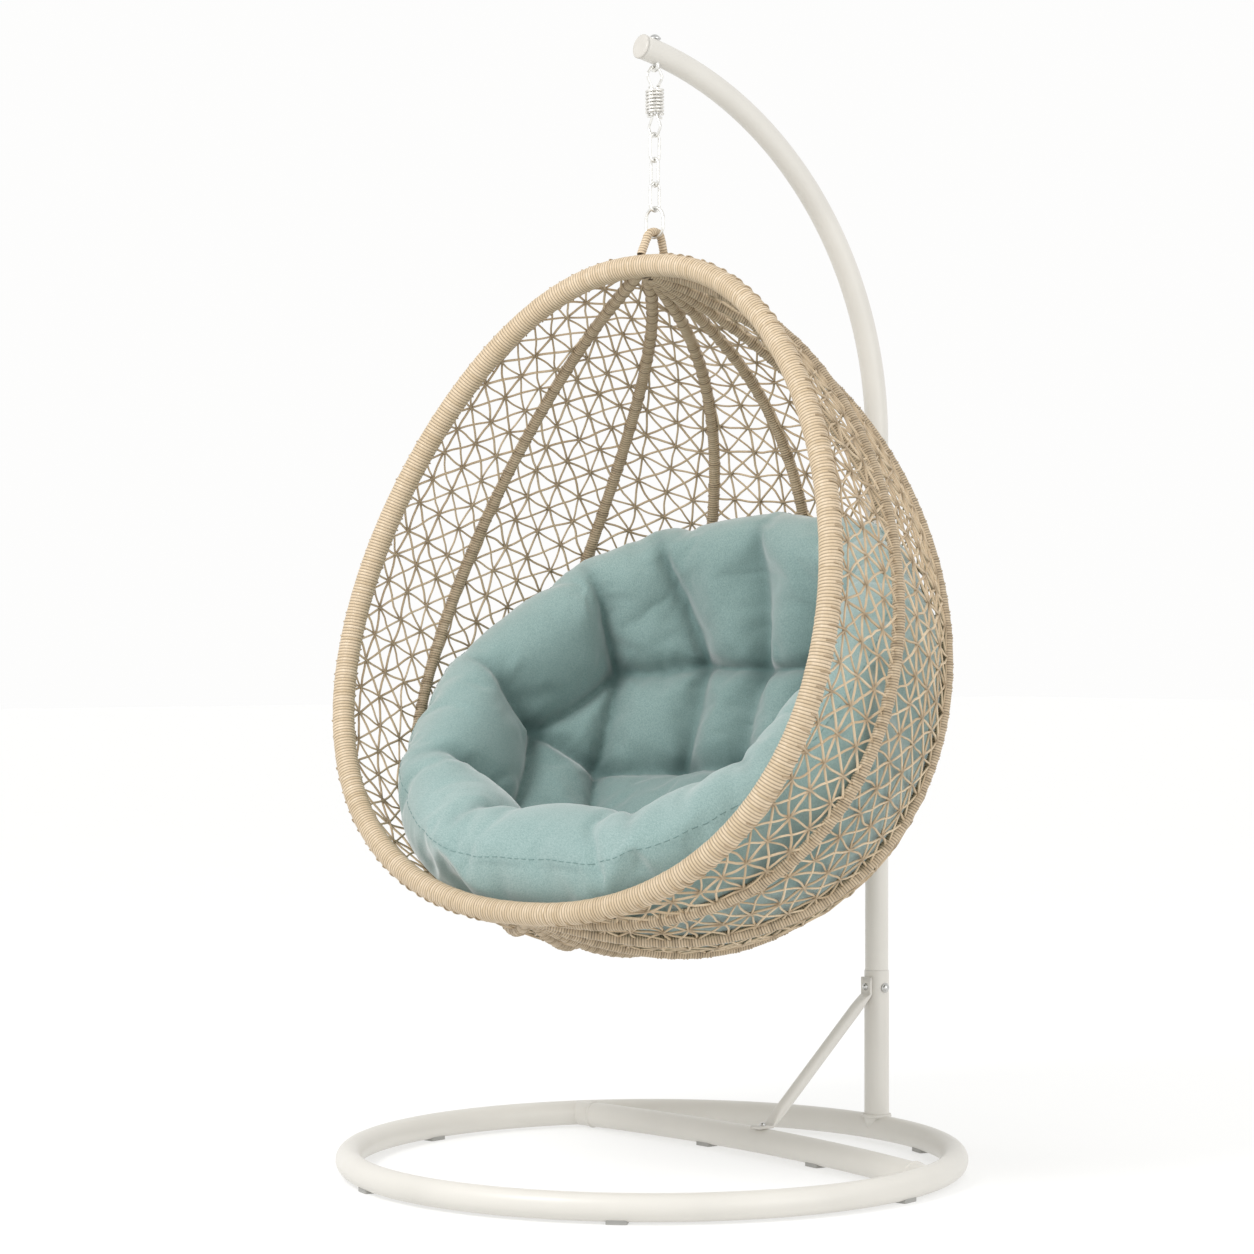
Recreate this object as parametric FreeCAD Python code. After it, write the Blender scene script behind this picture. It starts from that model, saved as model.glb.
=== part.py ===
import FreeCAD, Part
import math
import os

from FreeCAD import Vector

# Hanging egg chair, millimetres. +Z is up, the origin is on the floor at the
# centre of the base ring, the mouth of the stand faces -Y and the post is at +Y.

# ---- stand ----
ring_radius = 520.0         # centreline of the base ring
ring_tube = 45.0            # outside diameter of the ring and cross bar tube
stand_wall = 1.5            # wall of every steel tube
glide_height = 3.0          # plastic under the ring
glide_length = 34.0         # along the ring
glide_width = 26.0
glide_cup = 6.5             # how far the glide reaches up round the tube
glide_corner = 3.0
glide_angles = (-12.0, 46.0, 104.0, 164.0, -136.0, -78.0)   # from -Y towards +X
bar_glide_offset = 150.0    # the two glides under the cross bar
bar_end_angle = 67.5        # where the bar meets the ring, from +Y
bar_bow = 50.0              # how far the middle of the bar bows to the rear
bar_straight = 50.0         # the last of it runs straight into the ring
bar_inset = 1.0             # it ends just short of the ring tube's centreline
post_tube = 45.0            # lower post, a sleeve
post_top = 312.0
post_socket_depth = 120.0   # how far the arm tube goes into the sleeve
arm_tube = 42.0
socket_gap = 0.2            # radial, arm tube in the sleeve
arm_bend_start = 1279.0     # height where the post becomes an arc
arm_bend_radius = 664.0
arm_tip_angle = 2.556       # how far the arc runs on past the hanging axis
cap_thickness = 4.0
cap_plug_length = 18.0
cap_plug_gap = 0.5          # radial, plug in the arm
brace_tube = 22.0
brace_top_height = 283.0
brace_tab_width = 26.0
brace_tab_thickness = 5.0
brace_tab_length = 34.0
brace_pinch_length = 34.0
brace_neck_tip = 3.6        # the neck ends inside the tab
brace_neck_inset = 5.0
post_bolt_size = 8.0
post_bolt_heights = (281.0,)
small_bolt_size = 6.0
bolt_clearance = 0.3        # radial, every bolt in its hole
# domed heads and nuts, as shares of the thread's size
head_flange = 2.0
head_flange_height = 0.2
head_dome = 1.9
head_ball = 1.1
head_ball_drop = 0.45

# ---- suspension ----
hang_y = 6.0                # the hanging axis is X = 0, Y = hang_y
hook_wire = 7.0
hook_radius = 8.5           # centreline of the open eye
hook_drop = 31.835          # from the arm's centreline to the wire where the spring hangs
eye_sweep = 232.0           # degrees of the open eye
shank_stand = 8.0           # thread above the arm
hook_washer = 22.0
washer_thickness = 2.0
washer_lift = 0.8           # its rim clears the round of the arm
nut_ball = 10.5             # radius of the dome nut
nut_ball_drop = 2.0
nut_height = 20.0
link_gap = 0.3              # between wires that hang on each other
drawbar_wire = 4.5
drawbar_half_width = 15.8   # centreline at the widest
drawbar_neck = 7.0          # half distance of the two legs
drawbar_loop = 36.0         # from the loop's end to the neck
drawbar_end_radius = 8.5
drawbar_corner_height = 0.525   # shares of the loop, from its end
drawbar_shoulder_height = 0.375
drawbar_tip_half = 6.8
drawbar_neck_rise = 2.0
drawbar_foot = 8.5          # hooked foot under or over the coil
drawbar_bends = (3.0, 6.0, 12.0, 12.0)
spring_diameter = 33.0
spring_wire = 4.0
spring_length = 48.0
spring_turns = 7.5
spring_stroke = 12.0
chain_wire = 5.2
chain_pitch = 43.0          # inside length
chain_width = 25.0          # outside
ring_wire = 5.5             # the oval ring that holds the basket
oval_height = 57.0          # outside
oval_width = 44.0           # outside

# ---- basket, in its own frame: origin under the hanging axis, mouth to -Y ----
basket_yaw = 11.0           # how far the basket hangs turned from the stand
hanger_rod = 15.0
hanger_half_span = 37.0
hanger_crown_half = 15.0    # half distance of the two upper corners, before they are bent
hanger_bend = 13.0
seat_gap = 0.6              # across, where the loop sits over the rim
seat_overlap = 3.0          # how far the loop's end saddles the rim
hanger_height = 63.3       # from the rim's centre to the loop's upper centreline
rim_top_y = -hanger_half_span
rim_tilt = 15.2             # the mouth leans, its foot is further forward
rim_tube = 39.0
rim_samples = 28            # points along one side of the rim
rib_samples = 22
basket_length = 1131.0      # along the mouth, from rim centre to rim centre
mouth_half_width = 526.0
mouth_fullness = 0.90       # exponent, under 1 is squarer shouldered
mouth_egg = 0.162           # share by which the foot is wider than the crown
shell_depth = 630.0
shell_fullness = 0.70
shell_egg = -0.07
shell_sag = 0.155           # how much the depth leans down
section_power = 3.0         # superellipse of the sections
rib_angles = (-72.0, -52.0, -29.0, 0.0, 29.0, 52.0, 72.0)
rib_size = 21.0
crown_radius = 100.0
keel_radius = 104.0
plate_thickness = 8.0
weave_thickness = 2.5
weave_gap = 5.0             # along a panel's row, from its edge to the wrapped rods
weave_narrowest = 16.0      # a panel stops where it would be narrower
weave_rows = 22             # patches of the smooth sheet
weave_columns = 6
plate_margin = 14.0         # from a panel's end to the crown and keel plates
plate_gap = 2.0             # from the rim and the ribs to those plates
crown_fall_angle = 24.0     # how the crown plate falls away behind the rim

# ---- cushion ----
cushion_eye_back = -20.0    # every thickness is measured towards this point,
cushion_eye_height = 905.0  # its place behind the hanging axis and its height
cushion_lean_angle = 33.37  # how the cushion's axis leans back from straight down
cushion_reach_front = 69.0  # degrees from that axis to the edge
cushion_reach_back = 84.0
cushion_reach_side = 5.0   # change of it at the sides
cushion_around = 32         # facets round the edge
cushion_rings = 7
cushion_gap = 7.0           # from the ribs
cushion_thickness = 118.0
cushion_lip = 150.0         # thickness at the front edge
cushion_nose = 54.0         # how far the rounded edge stands out
cushion_slant = 1.15        # rays meet the shell at a slant
cushion_cover = 8.0         # cover and quilted layer, the filling inside is not modelled


up = Vector(0, 0, 1)
front = Vector(0, -1, 0)
right_side = Vector(1, 0, 0)


def half(size):
    return size / 2.0


ring_height = glide_height + half(ring_tube)
post_y = ring_radius
arm_centre_y = post_y - arm_bend_radius
hang_angle = math.degrees(math.acos((hang_y - arm_centre_y) / arm_bend_radius))
arm_hang_height = arm_bend_start + arm_bend_radius * math.sin(math.radians(hang_angle))
arm_bend_angle = hang_angle + arm_tip_angle
hook_bottom = arm_hang_height - hook_drop


# ---------------------------------------------------------------- basic shapes
def rod(start, end, diameter):
    run = end - start
    return Part.makeCylinder(half(diameter), run.Length, start, run)


def pipe(start, end, outside, wall):
    return rod(start, end, outside).cut(rod(start, end, outside - 2 * wall))


def circle_wire(centre, normal, radius, seam=None):
    """A round section; its seam may be turned towards a direction so that lofts do not twist."""
    circle = Part.Circle(centre, normal, radius)
    if seam is not None:
        axis = normal.normalize()
        circle.XAxis = (seam - axis * seam.dot(axis)).normalize()
    return Part.Wire(circle.toShape())


def sweep_round(path, diameter):
    edge = path.Edges[0]
    start = edge.valueAt(edge.FirstParameter)
    tangent = edge.tangentAt(edge.FirstParameter)
    profile = circle_wire(start, tangent, half(diameter))
    return path.makePipeShell([profile], True, False)


def rounded_path(points, radii):
    """Straight runs through the points, with an arc of its own radius at each inner one."""
    edges = []
    last = points[0]
    for index in range(1, len(points) - 1):
        corner = points[index]
        back = (points[index - 1] - corner).normalize()
        ahead = (points[index + 1] - corner).normalize()
        turn = math.pi - back.getAngle(ahead)
        reach = radii[index - 1] * math.tan(turn / 2)
        arc_start = corner + back * reach
        arc_end = corner + ahead * reach
        towards = (back + ahead).normalize()
        middle = corner + towards * (radii[index - 1] / math.cos(turn / 2) - radii[index - 1])
        if (arc_start - last).Length > 0.01:
            edges.append(Part.LineSegment(last, arc_start).toShape())
        edges.append(Part.Arc(arc_start, middle, arc_end).toShape())
        last = arc_end
    if (points[-1] - last).Length > 0.01:
        edges.append(Part.LineSegment(last, points[-1]).toShape())
    return Part.Wire(edges)


def turned(shape, angle):
    copy = shape.copy()
    copy.rotate(Vector(0, hang_y, 0), Vector(0, 0, 1), angle)
    return copy


# ------------------------------------------------------------------ the stand
def ring_solid(diameter):
    return Part.makeTorus(ring_radius, half(diameter), Vector(0, 0, ring_height))


def base_ring():
    return ring_solid(ring_tube).cut(ring_solid(ring_tube - 2 * stand_wall))


def bow_radius(end_x):
    return half(end_x ** 2 + bar_bow ** 2) / bar_bow


def bar_path():
    end_x = ring_radius * math.sin(math.radians(bar_end_angle))
    end_y = ring_radius * math.cos(math.radians(bar_end_angle))
    middle = Vector(0, end_y + bar_bow, ring_height)
    turn = math.asin(end_x / bow_radius(end_x)) - bar_straight / bow_radius(end_x)
    right = middle + Vector(math.sin(turn), math.cos(turn) - 1, 0) * bow_radius(end_x)
    right_end = right + Vector(math.cos(turn), -math.sin(turn), 0) * (bar_straight - bar_inset)
    left = Vector(-right.x, right.y, right.z)
    left_end = Vector(-right_end.x, right_end.y, right_end.z)
    return Part.Wire([Part.LineSegment(left_end, left).toShape(),
                      Part.Arc(left, middle, right).toShape(),
                      Part.LineSegment(right, right_end).toShape()]), middle


def cross_bar():
    path, middle = bar_path()
    tube = sweep_round(path, ring_tube).cut(sweep_round(path, ring_tube - 2 * stand_wall))
    return tube.cut(ring_solid(ring_tube))


def glide(x, y, heading, seat):
    block = Part.makeBox(glide_length, glide_width, glide_height + glide_cup)
    block.translate(Vector(-half(glide_length), -half(glide_width), 0))
    uprights = [edge for edge in block.Edges if edge.BoundBox.ZLength > half(glide_cup)]
    block = block.makeFillet(glide_corner, uprights)
    block.rotate(Vector(0, 0, 0), Vector(0, 0, 1), heading)
    block.translate(Vector(x, y, 0))
    return block.cut(seat)


def glide_feet():
    feet = []
    for angle in glide_angles:
        x = ring_radius * math.sin(math.radians(angle))
        y = -ring_radius * math.cos(math.radians(angle))
        feet.append(glide(x, y, angle, ring_solid(ring_tube)))
    path, middle = bar_path()
    bar = sweep_round(path, ring_tube)
    bar_radius = path.Edges[1].Curve.Radius
    for x in (-bar_glide_offset, bar_glide_offset):
        y = middle.y - bar_radius + math.sqrt(bar_radius ** 2 - x ** 2)
        heading = -math.degrees(math.asin(x / bar_radius))
        feet.append(glide(x, y, heading, bar))
    return Part.makeCompound(feet)


def post_bolt_holes(diameter):
    reach = post_tube
    holes = [rod(Vector(-reach, post_y, z), Vector(reach, post_y, z), diameter) for z in post_bolt_heights]
    return Part.makeCompound(holes)


def lower_post():
    tube = pipe(Vector(0, post_y, ring_height), Vector(0, post_y, post_top), post_tube,
                half(post_tube - arm_tube) - socket_gap)
    tube = tube.cut(ring_solid(ring_tube)).cut(post_bolt_holes(post_bolt_size + 2 * bolt_clearance))
    return tube


def arm_point(angle, radius=arm_bend_radius):
    turn = math.radians(angle)
    return Vector(0, arm_centre_y + radius * math.cos(turn), arm_bend_start + radius * math.sin(turn))


def arm_path():
    start = Vector(0, post_y, post_top - post_socket_depth)
    bend = arm_point(0)
    return Part.Wire([Part.LineSegment(start, bend).toShape(),
                      Part.Arc(bend, arm_point(half(arm_bend_angle)), arm_point(arm_bend_angle)).toShape()])


def arm():
    tube = sweep_round(arm_path(), arm_tube).cut(sweep_round(arm_path(), arm_tube - 2 * stand_wall))
    tube = tube.cut(post_bolt_holes(post_bolt_size + 2 * bolt_clearance))
    return tube.cut(hook_bolt(bolt_clearance))


def arm_end_cap():
    end = arm_point(arm_bend_angle)
    out = (arm_point(arm_bend_angle + 0.01) - end).normalize()
    disc = rod(end, end + out * cap_thickness, arm_tube)
    rim = [edge for edge in disc.Edges if edge.CenterOfMass.distanceToPoint(end + out * cap_thickness) < 1]
    disc = disc.makeFillet(half(cap_thickness), rim)
    plug_size = arm_tube - 2 * (stand_wall + cap_plug_gap)
    return disc.fuse(rod(end - out * cap_plug_length, end, plug_size))


def domed_head(seat, out, size):
    flange = rod(seat, seat + out * size * head_flange_height, size * head_flange)
    ball = Part.makeSphere(size * head_ball, seat - out * size * head_ball_drop)
    dome = ball.common(rod(seat + out * size * head_flange_height, seat + out * size, size * head_dome))
    return flange.fuse(dome)


def bolt(centre, along, length, size):
    """A dome head bolt with a dome nut: the shank's middle is at the centre."""
    start = centre - along * half(length)
    end = centre + along * half(length)
    shape = rod(start, end, size)
    for place, out in ((start, along * -1), (end, along)):
        shape = shape.fuse(domed_head(place, out, size))
    return shape.removeSplitter()


def post_bolts():
    return Part.makeCompound([bolt(Vector(0, post_y, z), right_side, post_tube, post_bolt_size)
                              for z in post_bolt_heights])


def brace_ends():
    path, middle = bar_path()
    lower = Vector(0, middle.y, ring_height + half(ring_tube) + half(brace_tab_thickness))
    upper = Vector(0, post_y - half(post_tube) - half(brace_tab_thickness), brace_top_height)
    return lower, upper


def brace_tab(centre, along, normal):
    """A flattened tube end, bolted flat against its neighbour."""
    side = along.cross(normal)
    corner = centre - along * half(brace_tab_length) - side * half(brace_tab_width)
    corner = corner - normal * half(brace_tab_thickness)
    plate = Part.makePolygon([corner, corner + along * brace_tab_length,
                              corner + along * brace_tab_length + side * brace_tab_width,
                              corner + side * brace_tab_width, corner])
    return Part.Face(plate).extrude(normal * brace_tab_thickness)


def brace():
    """One tube: a tab on the bar, a neck, the round run, a neck and a tab on the post."""
    lower, upper = brace_ends()
    reach = half(brace_tab_length) - brace_neck_inset
    start = lower + front * -reach
    end = upper - up * reach
    run = (end - start).normalize()
    tube_start = start + run * brace_pinch_length
    tube_end = end - run * brace_pinch_length
    wide = half(brace_tube)
    tip = half(brace_neck_tip)
    tube = Part.makeCone(tip, wide, brace_pinch_length, start, run)
    tube = tube.fuse(rod(tube_start, tube_end, brace_tube))
    tube = tube.fuse(Part.makeCone(tip, wide, brace_pinch_length, end, run * -1))
    shape = brace_tab(lower, front * -1, up).fuse(tube).fuse(brace_tab(upper, up * -1, front * -1))
    hole = bolt_clearance * 2 + small_bolt_size
    through = brace_tab_thickness
    shape = shape.cut(rod(lower - up * through, lower + up * through, hole))
    return shape.cut(rod(upper - front * through, upper + front * through, hole))


def screw(seat, out, size, depth):
    return rod(seat - out * depth, seat, size).fuse(domed_head(seat, out, size)).removeSplitter()


def brace_screws():
    lower, upper = brace_ends()
    depth = brace_tab_thickness - bolt_clearance
    return Part.makeCompound([screw(lower + up * half(brace_tab_thickness), up, small_bolt_size, depth),
                              screw(upper + front * half(brace_tab_thickness), front, small_bolt_size, depth)])


# -------------------------------------------------------------- the suspension
def hook_bolt(grown=0.0):
    """A straight shank through the arm that ends in an open eye across the arm."""
    eye_centre = Vector(0, hang_y, hook_bottom + hook_radius)
    top = Vector(0, hang_y, arm_hang_height + half(arm_tube) + shank_stand)

    def on_eye(angle):
        turn = math.radians(angle)
        return eye_centre + Vector(math.sin(turn), 0, math.cos(turn)) * hook_radius

    size = hook_wire + 2 * grown
    shank = rod(on_eye(0), top, size)
    path = Part.Wire([Part.Arc(on_eye(0), on_eye(half(eye_sweep)), on_eye(eye_sweep)).toShape()])
    tip = Part.makeSphere(half(size), on_eye(eye_sweep))
    return shank.fuse(sweep_round(path, size)).fuse(tip)


def hook_nut():
    """A dome nut on a washer, on top of the arm."""
    seat = Vector(0, hang_y, arm_hang_height + half(arm_tube) + washer_lift)
    washer = rod(seat, seat + up * washer_thickness, hook_washer)
    ball = Part.makeSphere(nut_ball, seat - up * nut_ball_drop)
    dome = ball.common(rod(seat + up * washer_thickness, seat + up * nut_height, hook_washer))
    shape = washer.fuse(dome)
    arm_body = sweep_round(arm_path(), arm_tube)
    bolt_shape = hook_bolt()
    return shape.cut(arm_body).cut(bolt_shape)


coil_top = hook_bottom + half(hook_wire) + link_gap + half(drawbar_wire) - drawbar_loop
coil_bottom = coil_top - spring_length
lower_loop_bottom = coil_bottom - drawbar_loop


def drawbar(loop_end, loop_way, foot_z, plane_angle):
    """A bent wire: a loop outside the coil, two legs through it and a foot hooked on its far end."""
    neck_z = loop_end - loop_way * drawbar_loop
    points = [(drawbar_neck + drawbar_foot, foot_z),
              (drawbar_neck, foot_z),
              (drawbar_neck, neck_z + loop_way * drawbar_neck_rise),
              (drawbar_half_width, loop_end - loop_way * drawbar_loop * drawbar_corner_height),
              (drawbar_half_width, loop_end - loop_way * drawbar_loop * drawbar_shoulder_height),
              (drawbar_tip_half, loop_end)]
    radii = list(drawbar_bends) + [drawbar_end_radius]
    mirrored = [(-across, height) for across, height in reversed(points)]
    line = [Vector(across, hang_y, height) for across, height in points + mirrored]
    path = rounded_path(line, radii + list(reversed(radii)))
    return turned(sweep_round(path, drawbar_wire), plane_angle)


def upper_drawbar():
    top = coil_top + drawbar_loop
    return drawbar(top, 1.0, coil_bottom - half(drawbar_wire) - link_gap, 90.0)


def lower_drawbar():
    return drawbar(lower_loop_bottom, -1.0, coil_top + half(drawbar_wire) + link_gap, 0.0)


def spring_coil():
    radius = half(spring_diameter - spring_wire)
    length = spring_length - spring_wire
    helix = Part.makeHelix(length / spring_turns, length, radius)
    start = helix.Edges[0].valueAt(helix.Edges[0].FirstParameter)
    tangent = helix.Edges[0].tangentAt(helix.Edges[0].FirstParameter)
    profile = circle_wire(start, tangent, half(spring_wire))
    coil = helix.makePipeShell([profile], True, True)
    coil.translate(Vector(0, hang_y, coil_bottom + half(spring_wire)))
    return coil


def oval(top_z, height, width, wire, plane_angle):
    """A closed oval of round wire, its wire's centre at top_z at the top."""
    bend = half(width - wire)
    straight = height - width
    top_centre = Vector(0, hang_y, top_z - bend)
    low_centre = top_centre - Vector(0, 0, straight)
    left = Vector(-bend, 0, 0)
    right = Vector(bend, 0, 0)
    rise = Vector(0, 0, bend)
    path = Part.Wire([Part.Arc(top_centre + left, top_centre + rise, top_centre + right).toShape(),
                      Part.LineSegment(top_centre + right, low_centre + right).toShape(),
                      Part.Arc(low_centre + right, low_centre - rise, low_centre + left).toShape(),
                      Part.LineSegment(low_centre + left, top_centre + left).toShape()])
    return turned(sweep_round(path, wire), plane_angle)


chain_top = lower_loop_bottom + half(drawbar_wire) + link_gap + half(chain_wire)
chain_step = chain_pitch - link_gap
link_numbers = (1, 2, 3)
ring_top = chain_top - len(link_numbers) * chain_step - half(chain_wire) + half(ring_wire)
hanger_crown = ring_top - (oval_height - ring_wire) + half(ring_wire) + link_gap + half(hanger_rod)


def chain_link(number):
    plane = 90.0 if number % 2 == 1 else 0.0
    height = chain_pitch + 2 * chain_wire
    return oval(chain_top - (number - 1) * chain_step, height, chain_width, chain_wire, plane)


def hanging_ring():
    return oval(ring_top, oval_height, oval_width, ring_wire, basket_yaw)


# ------------------------------------------------------------------ the basket
tilt = math.radians(rim_tilt)
down_mouth = Vector(0, -math.sin(tilt), -math.cos(tilt))
into_shell = Vector(0, math.cos(tilt), -math.sin(tilt))
rim_top = Vector(0, hang_y + rim_top_y, hanger_crown - hanger_height)
rim_foot = rim_top + down_mouth * basket_length


def profile(size, fullness, egg, phi):
    return size * math.sin(phi) ** fullness * (1 - egg * math.cos(phi))


def shell_point(psi, phi):
    """A point of the basket's middle surface: psi turns about the mouth's long axis, phi runs down."""
    side = math.sin(psi)
    back = max(math.cos(psi), 0.0)
    spread = (abs(side) ** section_power + back ** section_power) ** (-1 / section_power)
    across = profile(mouth_half_width, mouth_fullness, mouth_egg, phi) * side * spread
    depth = profile(shell_depth, shell_fullness, shell_egg, phi) * back * spread
    run = half(basket_length) * (1 - math.cos(phi)) + shell_sag * depth
    return rim_top + Vector(across, 0, 0) + down_mouth * run + into_shell * depth


def shell_normal(psi, phi):
    step = 1e-4
    side = shell_point(min(psi + step, math.pi / 2), phi) - shell_point(max(psi - step, -math.pi / 2), phi)
    down = shell_point(psi, phi + step) - shell_point(psi, phi - step)
    return down.cross(side).normalize()


def phi_range(psi, clear_top, clear_foot):
    """Where a rib at psi starts and ends, clear of the crown and keel plates."""
    def reach(start, step, end, clear):
        phi = start
        while (shell_point(psi, phi) - end).Length < clear:
            phi += step
        return phi
    step = math.radians(0.25)
    return reach(step, step, rim_top, clear_top), reach(math.pi - step, -step, rim_foot, clear_foot)


def rim_hoop():
    points = [rim_top]
    for index in range(1, rim_samples):
        points.append(shell_point(half(math.pi), math.pi * index / rim_samples))
    points.append(rim_foot)
    mirrored = [Vector(-p.x, p.y, p.z) for p in reversed(points[1:-1])]
    curve = Part.BSplineCurve()
    curve.interpolate(Points=points + mirrored, PeriodicFlag=True)
    return sweep_round(Part.Wire([curve.toShape()]), rim_tube)


def rib(psi):
    start, end = phi_range(psi, crown_radius + plate_gap, keel_radius + plate_gap)
    rings = []
    for index in range(rib_samples + 1):
        phi = start + (end - start) * index / rib_samples
        ahead = shell_point(psi, phi + 1e-4) - shell_point(psi, phi - 1e-4)
        rings.append(circle_wire(shell_point(psi, phi), ahead, half(rib_size), shell_normal(psi, phi)))
    return Part.makeLoft(rings, True)


def edge_share(psi_from, psi_to, phi, clear):
    """The share of the way from one rod to the next at which a panel's edge is clear of it."""
    centre = shell_point(psi_from, phi)
    low, high = 0.0, 0.5
    for attempt in range(24):
        share = half(low + high)
        if (shell_point(psi_from + (psi_to - psi_from) * share, phi) - centre).Length < clear:
            low = share
        else:
            high = share
    return high


def panel_edges(psi_left, psi_right, phi):
    """Where a panel's two edges lie at phi, as shares of the way from the left rod to the right."""
    sizes = [rim_tube if abs(psi) > math.radians(89) else rib_size for psi in (psi_left, psi_right)]
    left = edge_share(psi_left, psi_right, phi, half(sizes[0]) + weave_gap)
    right = 1 - edge_share(psi_right, psi_left, phi, half(sizes[1]) + weave_gap)
    return left, right


def panel_range(psi_left, psi_right):
    """The stretch of phi over which a panel is wide enough to be woven."""
    def is_wide(phi):
        left, right = panel_edges(psi_left, psi_right, phi)
        width = (shell_point(psi_right, phi) - shell_point(psi_left, phi)).Length * (right - left)
        return width > weave_narrowest
    start, end = phi_range(half(psi_left + psi_right), crown_radius + plate_margin, keel_radius + plate_margin)
    step = math.radians(0.5)
    while not is_wide(start):
        start += step
    while not is_wide(end):
        end -= step
    return start, end


def weave_panel(psi_left, psi_right):
    start, end = panel_range(psi_left, psi_right)
    outer = []
    inner = []
    for row in range(weave_rows + 1):
        phi = start + (end - start) * row / weave_rows
        left_share, right_share = panel_edges(psi_left, psi_right, phi)
        outer_row = []
        inner_row = []
        for column in range(weave_columns + 1):
            share = left_share + (right_share - left_share) * column / weave_columns
            psi = psi_left + (psi_right - psi_left) * share
            place = shell_point(psi, phi)
            lift = shell_normal(psi, phi) * half(weave_thickness)
            outer_row.append(place + lift)
            inner_row.append(place - lift)
        outer.append(outer_row)
        inner.append(inner_row)
    return sheet_solid(outer, inner)


def sheet_solid(outer_grid, inner_grid):
    """A closed thin shell between two smooth grids of points."""
    skins = []
    for grid in (outer_grid, inner_grid):
        skin = Part.BSplineSurface()
        skin.interpolate(grid)
        skins.append(skin)
    faces = [skin.toShape() for skin in skins]
    for end in (0, 1):
        along = [skin.uIso(skin.bounds()[end]).toShape() for skin in skins]
        faces.append(Part.makeRuledSurface(along[0], along[1]))
        across = [skin.vIso(skin.bounds()[2 + end]).toShape() for skin in skins]
        faces.append(Part.makeRuledSurface(across[0], across[1]))
    shell = Part.makeCompound(faces)
    shell.sewShape()
    solid = Part.Solid(shell.Shells[0] if shell.Shells else shell)
    if solid.Volume < 0:
        solid.reverse()
    return solid


def hanger_loop():
    front_foot = rim_top + up * (half(rim_tube) - seat_overlap)
    back_foot = Vector(0, hang_y + hanger_half_span, crown_surface(hanger_half_span - rim_top_y).z)
    points = [front_foot, Vector(0, hang_y - hanger_crown_half, hanger_crown),
              Vector(0, hang_y + hanger_crown_half, hanger_crown), back_foot]
    shape = sweep_round(rounded_path(points, [hanger_bend, hanger_bend]), hanger_rod)
    along_rim = Vector(hanger_rod, 0, 0)
    shape = shape.cut(rod(rim_top - along_rim, rim_top + along_rim, rim_tube + seat_gap))
    return shape.cut(crown_plate())


crown_fall = math.radians(crown_fall_angle)


def crown_surface(back):
    """A point on the top face of the crown plate, at a distance behind the rim's centre."""
    return rim_top + Vector(0, back, -back * math.tan(crown_fall) + half(plate_thickness) / math.cos(crown_fall))


def gusset(corner, backwards, radius, inner):
    """A half round plate behind the rim where the ribs end."""
    normal = right_side.cross(backwards)
    disc = Part.makeCylinder(radius, plate_thickness, corner - normal * half(plate_thickness), normal)
    size = 4 * radius
    cutter = Part.makeBox(size, size, size)
    cutter.translate(Vector(-half(size), -size, -half(size)))
    lean = math.degrees(math.atan2(backwards.z, backwards.y))
    cutter.rotate(Vector(0, 0, 0), right_side, lean)
    cutter.translate(corner + backwards * inner)
    return disc.cut(cutter)


def crown_plate():
    backwards = Vector(0, math.cos(crown_fall), -math.sin(crown_fall))
    return gusset(rim_top, backwards, crown_radius, half(rim_tube) + plate_gap)


def keel_plate():
    end = shell_point(0.0, phi_range(0.0, crown_radius, keel_radius)[1])
    backwards = (end - rim_foot).normalize()
    return gusset(rim_foot, backwards, keel_radius, half(rim_tube) + plate_gap)


# ----------------------------------------------------------------- the cushion
cushion_eye = Vector(0, hang_y + cushion_eye_back, cushion_eye_height)
cushion_lean = math.radians(cushion_lean_angle)
cushion_axis = Vector(0, math.sin(cushion_lean), -math.cos(cushion_lean))


def inside_shell(place):
    away = place - rim_top
    depth = away.dot(into_shell)
    run = away.dot(down_mouth) - shell_sag * depth
    cosine = 1 - run / half(basket_length)
    if depth <= 0 or abs(cosine) >= 1:
        return False
    phi = math.acos(cosine)
    wide = profile(mouth_half_width, mouth_fullness, mouth_egg, phi)
    deep = profile(shell_depth, shell_fullness, shell_egg, phi)
    return (abs(away.x) / wide) ** section_power + (depth / deep) ** section_power < 1


def ray_to_shell(way):
    low, high = 0.0, basket_length
    for attempt in range(40):
        middle = half(low + high)
        if inside_shell(cushion_eye + way * middle):
            low = middle
        else:
            high = middle
    return low


def cushion_way(lean, heading):
    """A direction that leans away from the cushion's axis; heading 0 is forward, 90 is right."""
    forward = Vector(0, -math.cos(cushion_lean), -math.sin(cushion_lean))
    flat = forward * math.cos(heading) + right_side * math.sin(heading)
    return cushion_axis * math.cos(lean) + flat * math.sin(lean)


def edge_lean(heading):
    """How far the cushion reaches: low in front, high behind."""
    front_share = half(1 + math.cos(heading))
    reach = cushion_reach_back + (cushion_reach_front - cushion_reach_back) * front_share
    return math.radians(reach + cushion_reach_side * math.sin(heading) ** 2)


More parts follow.
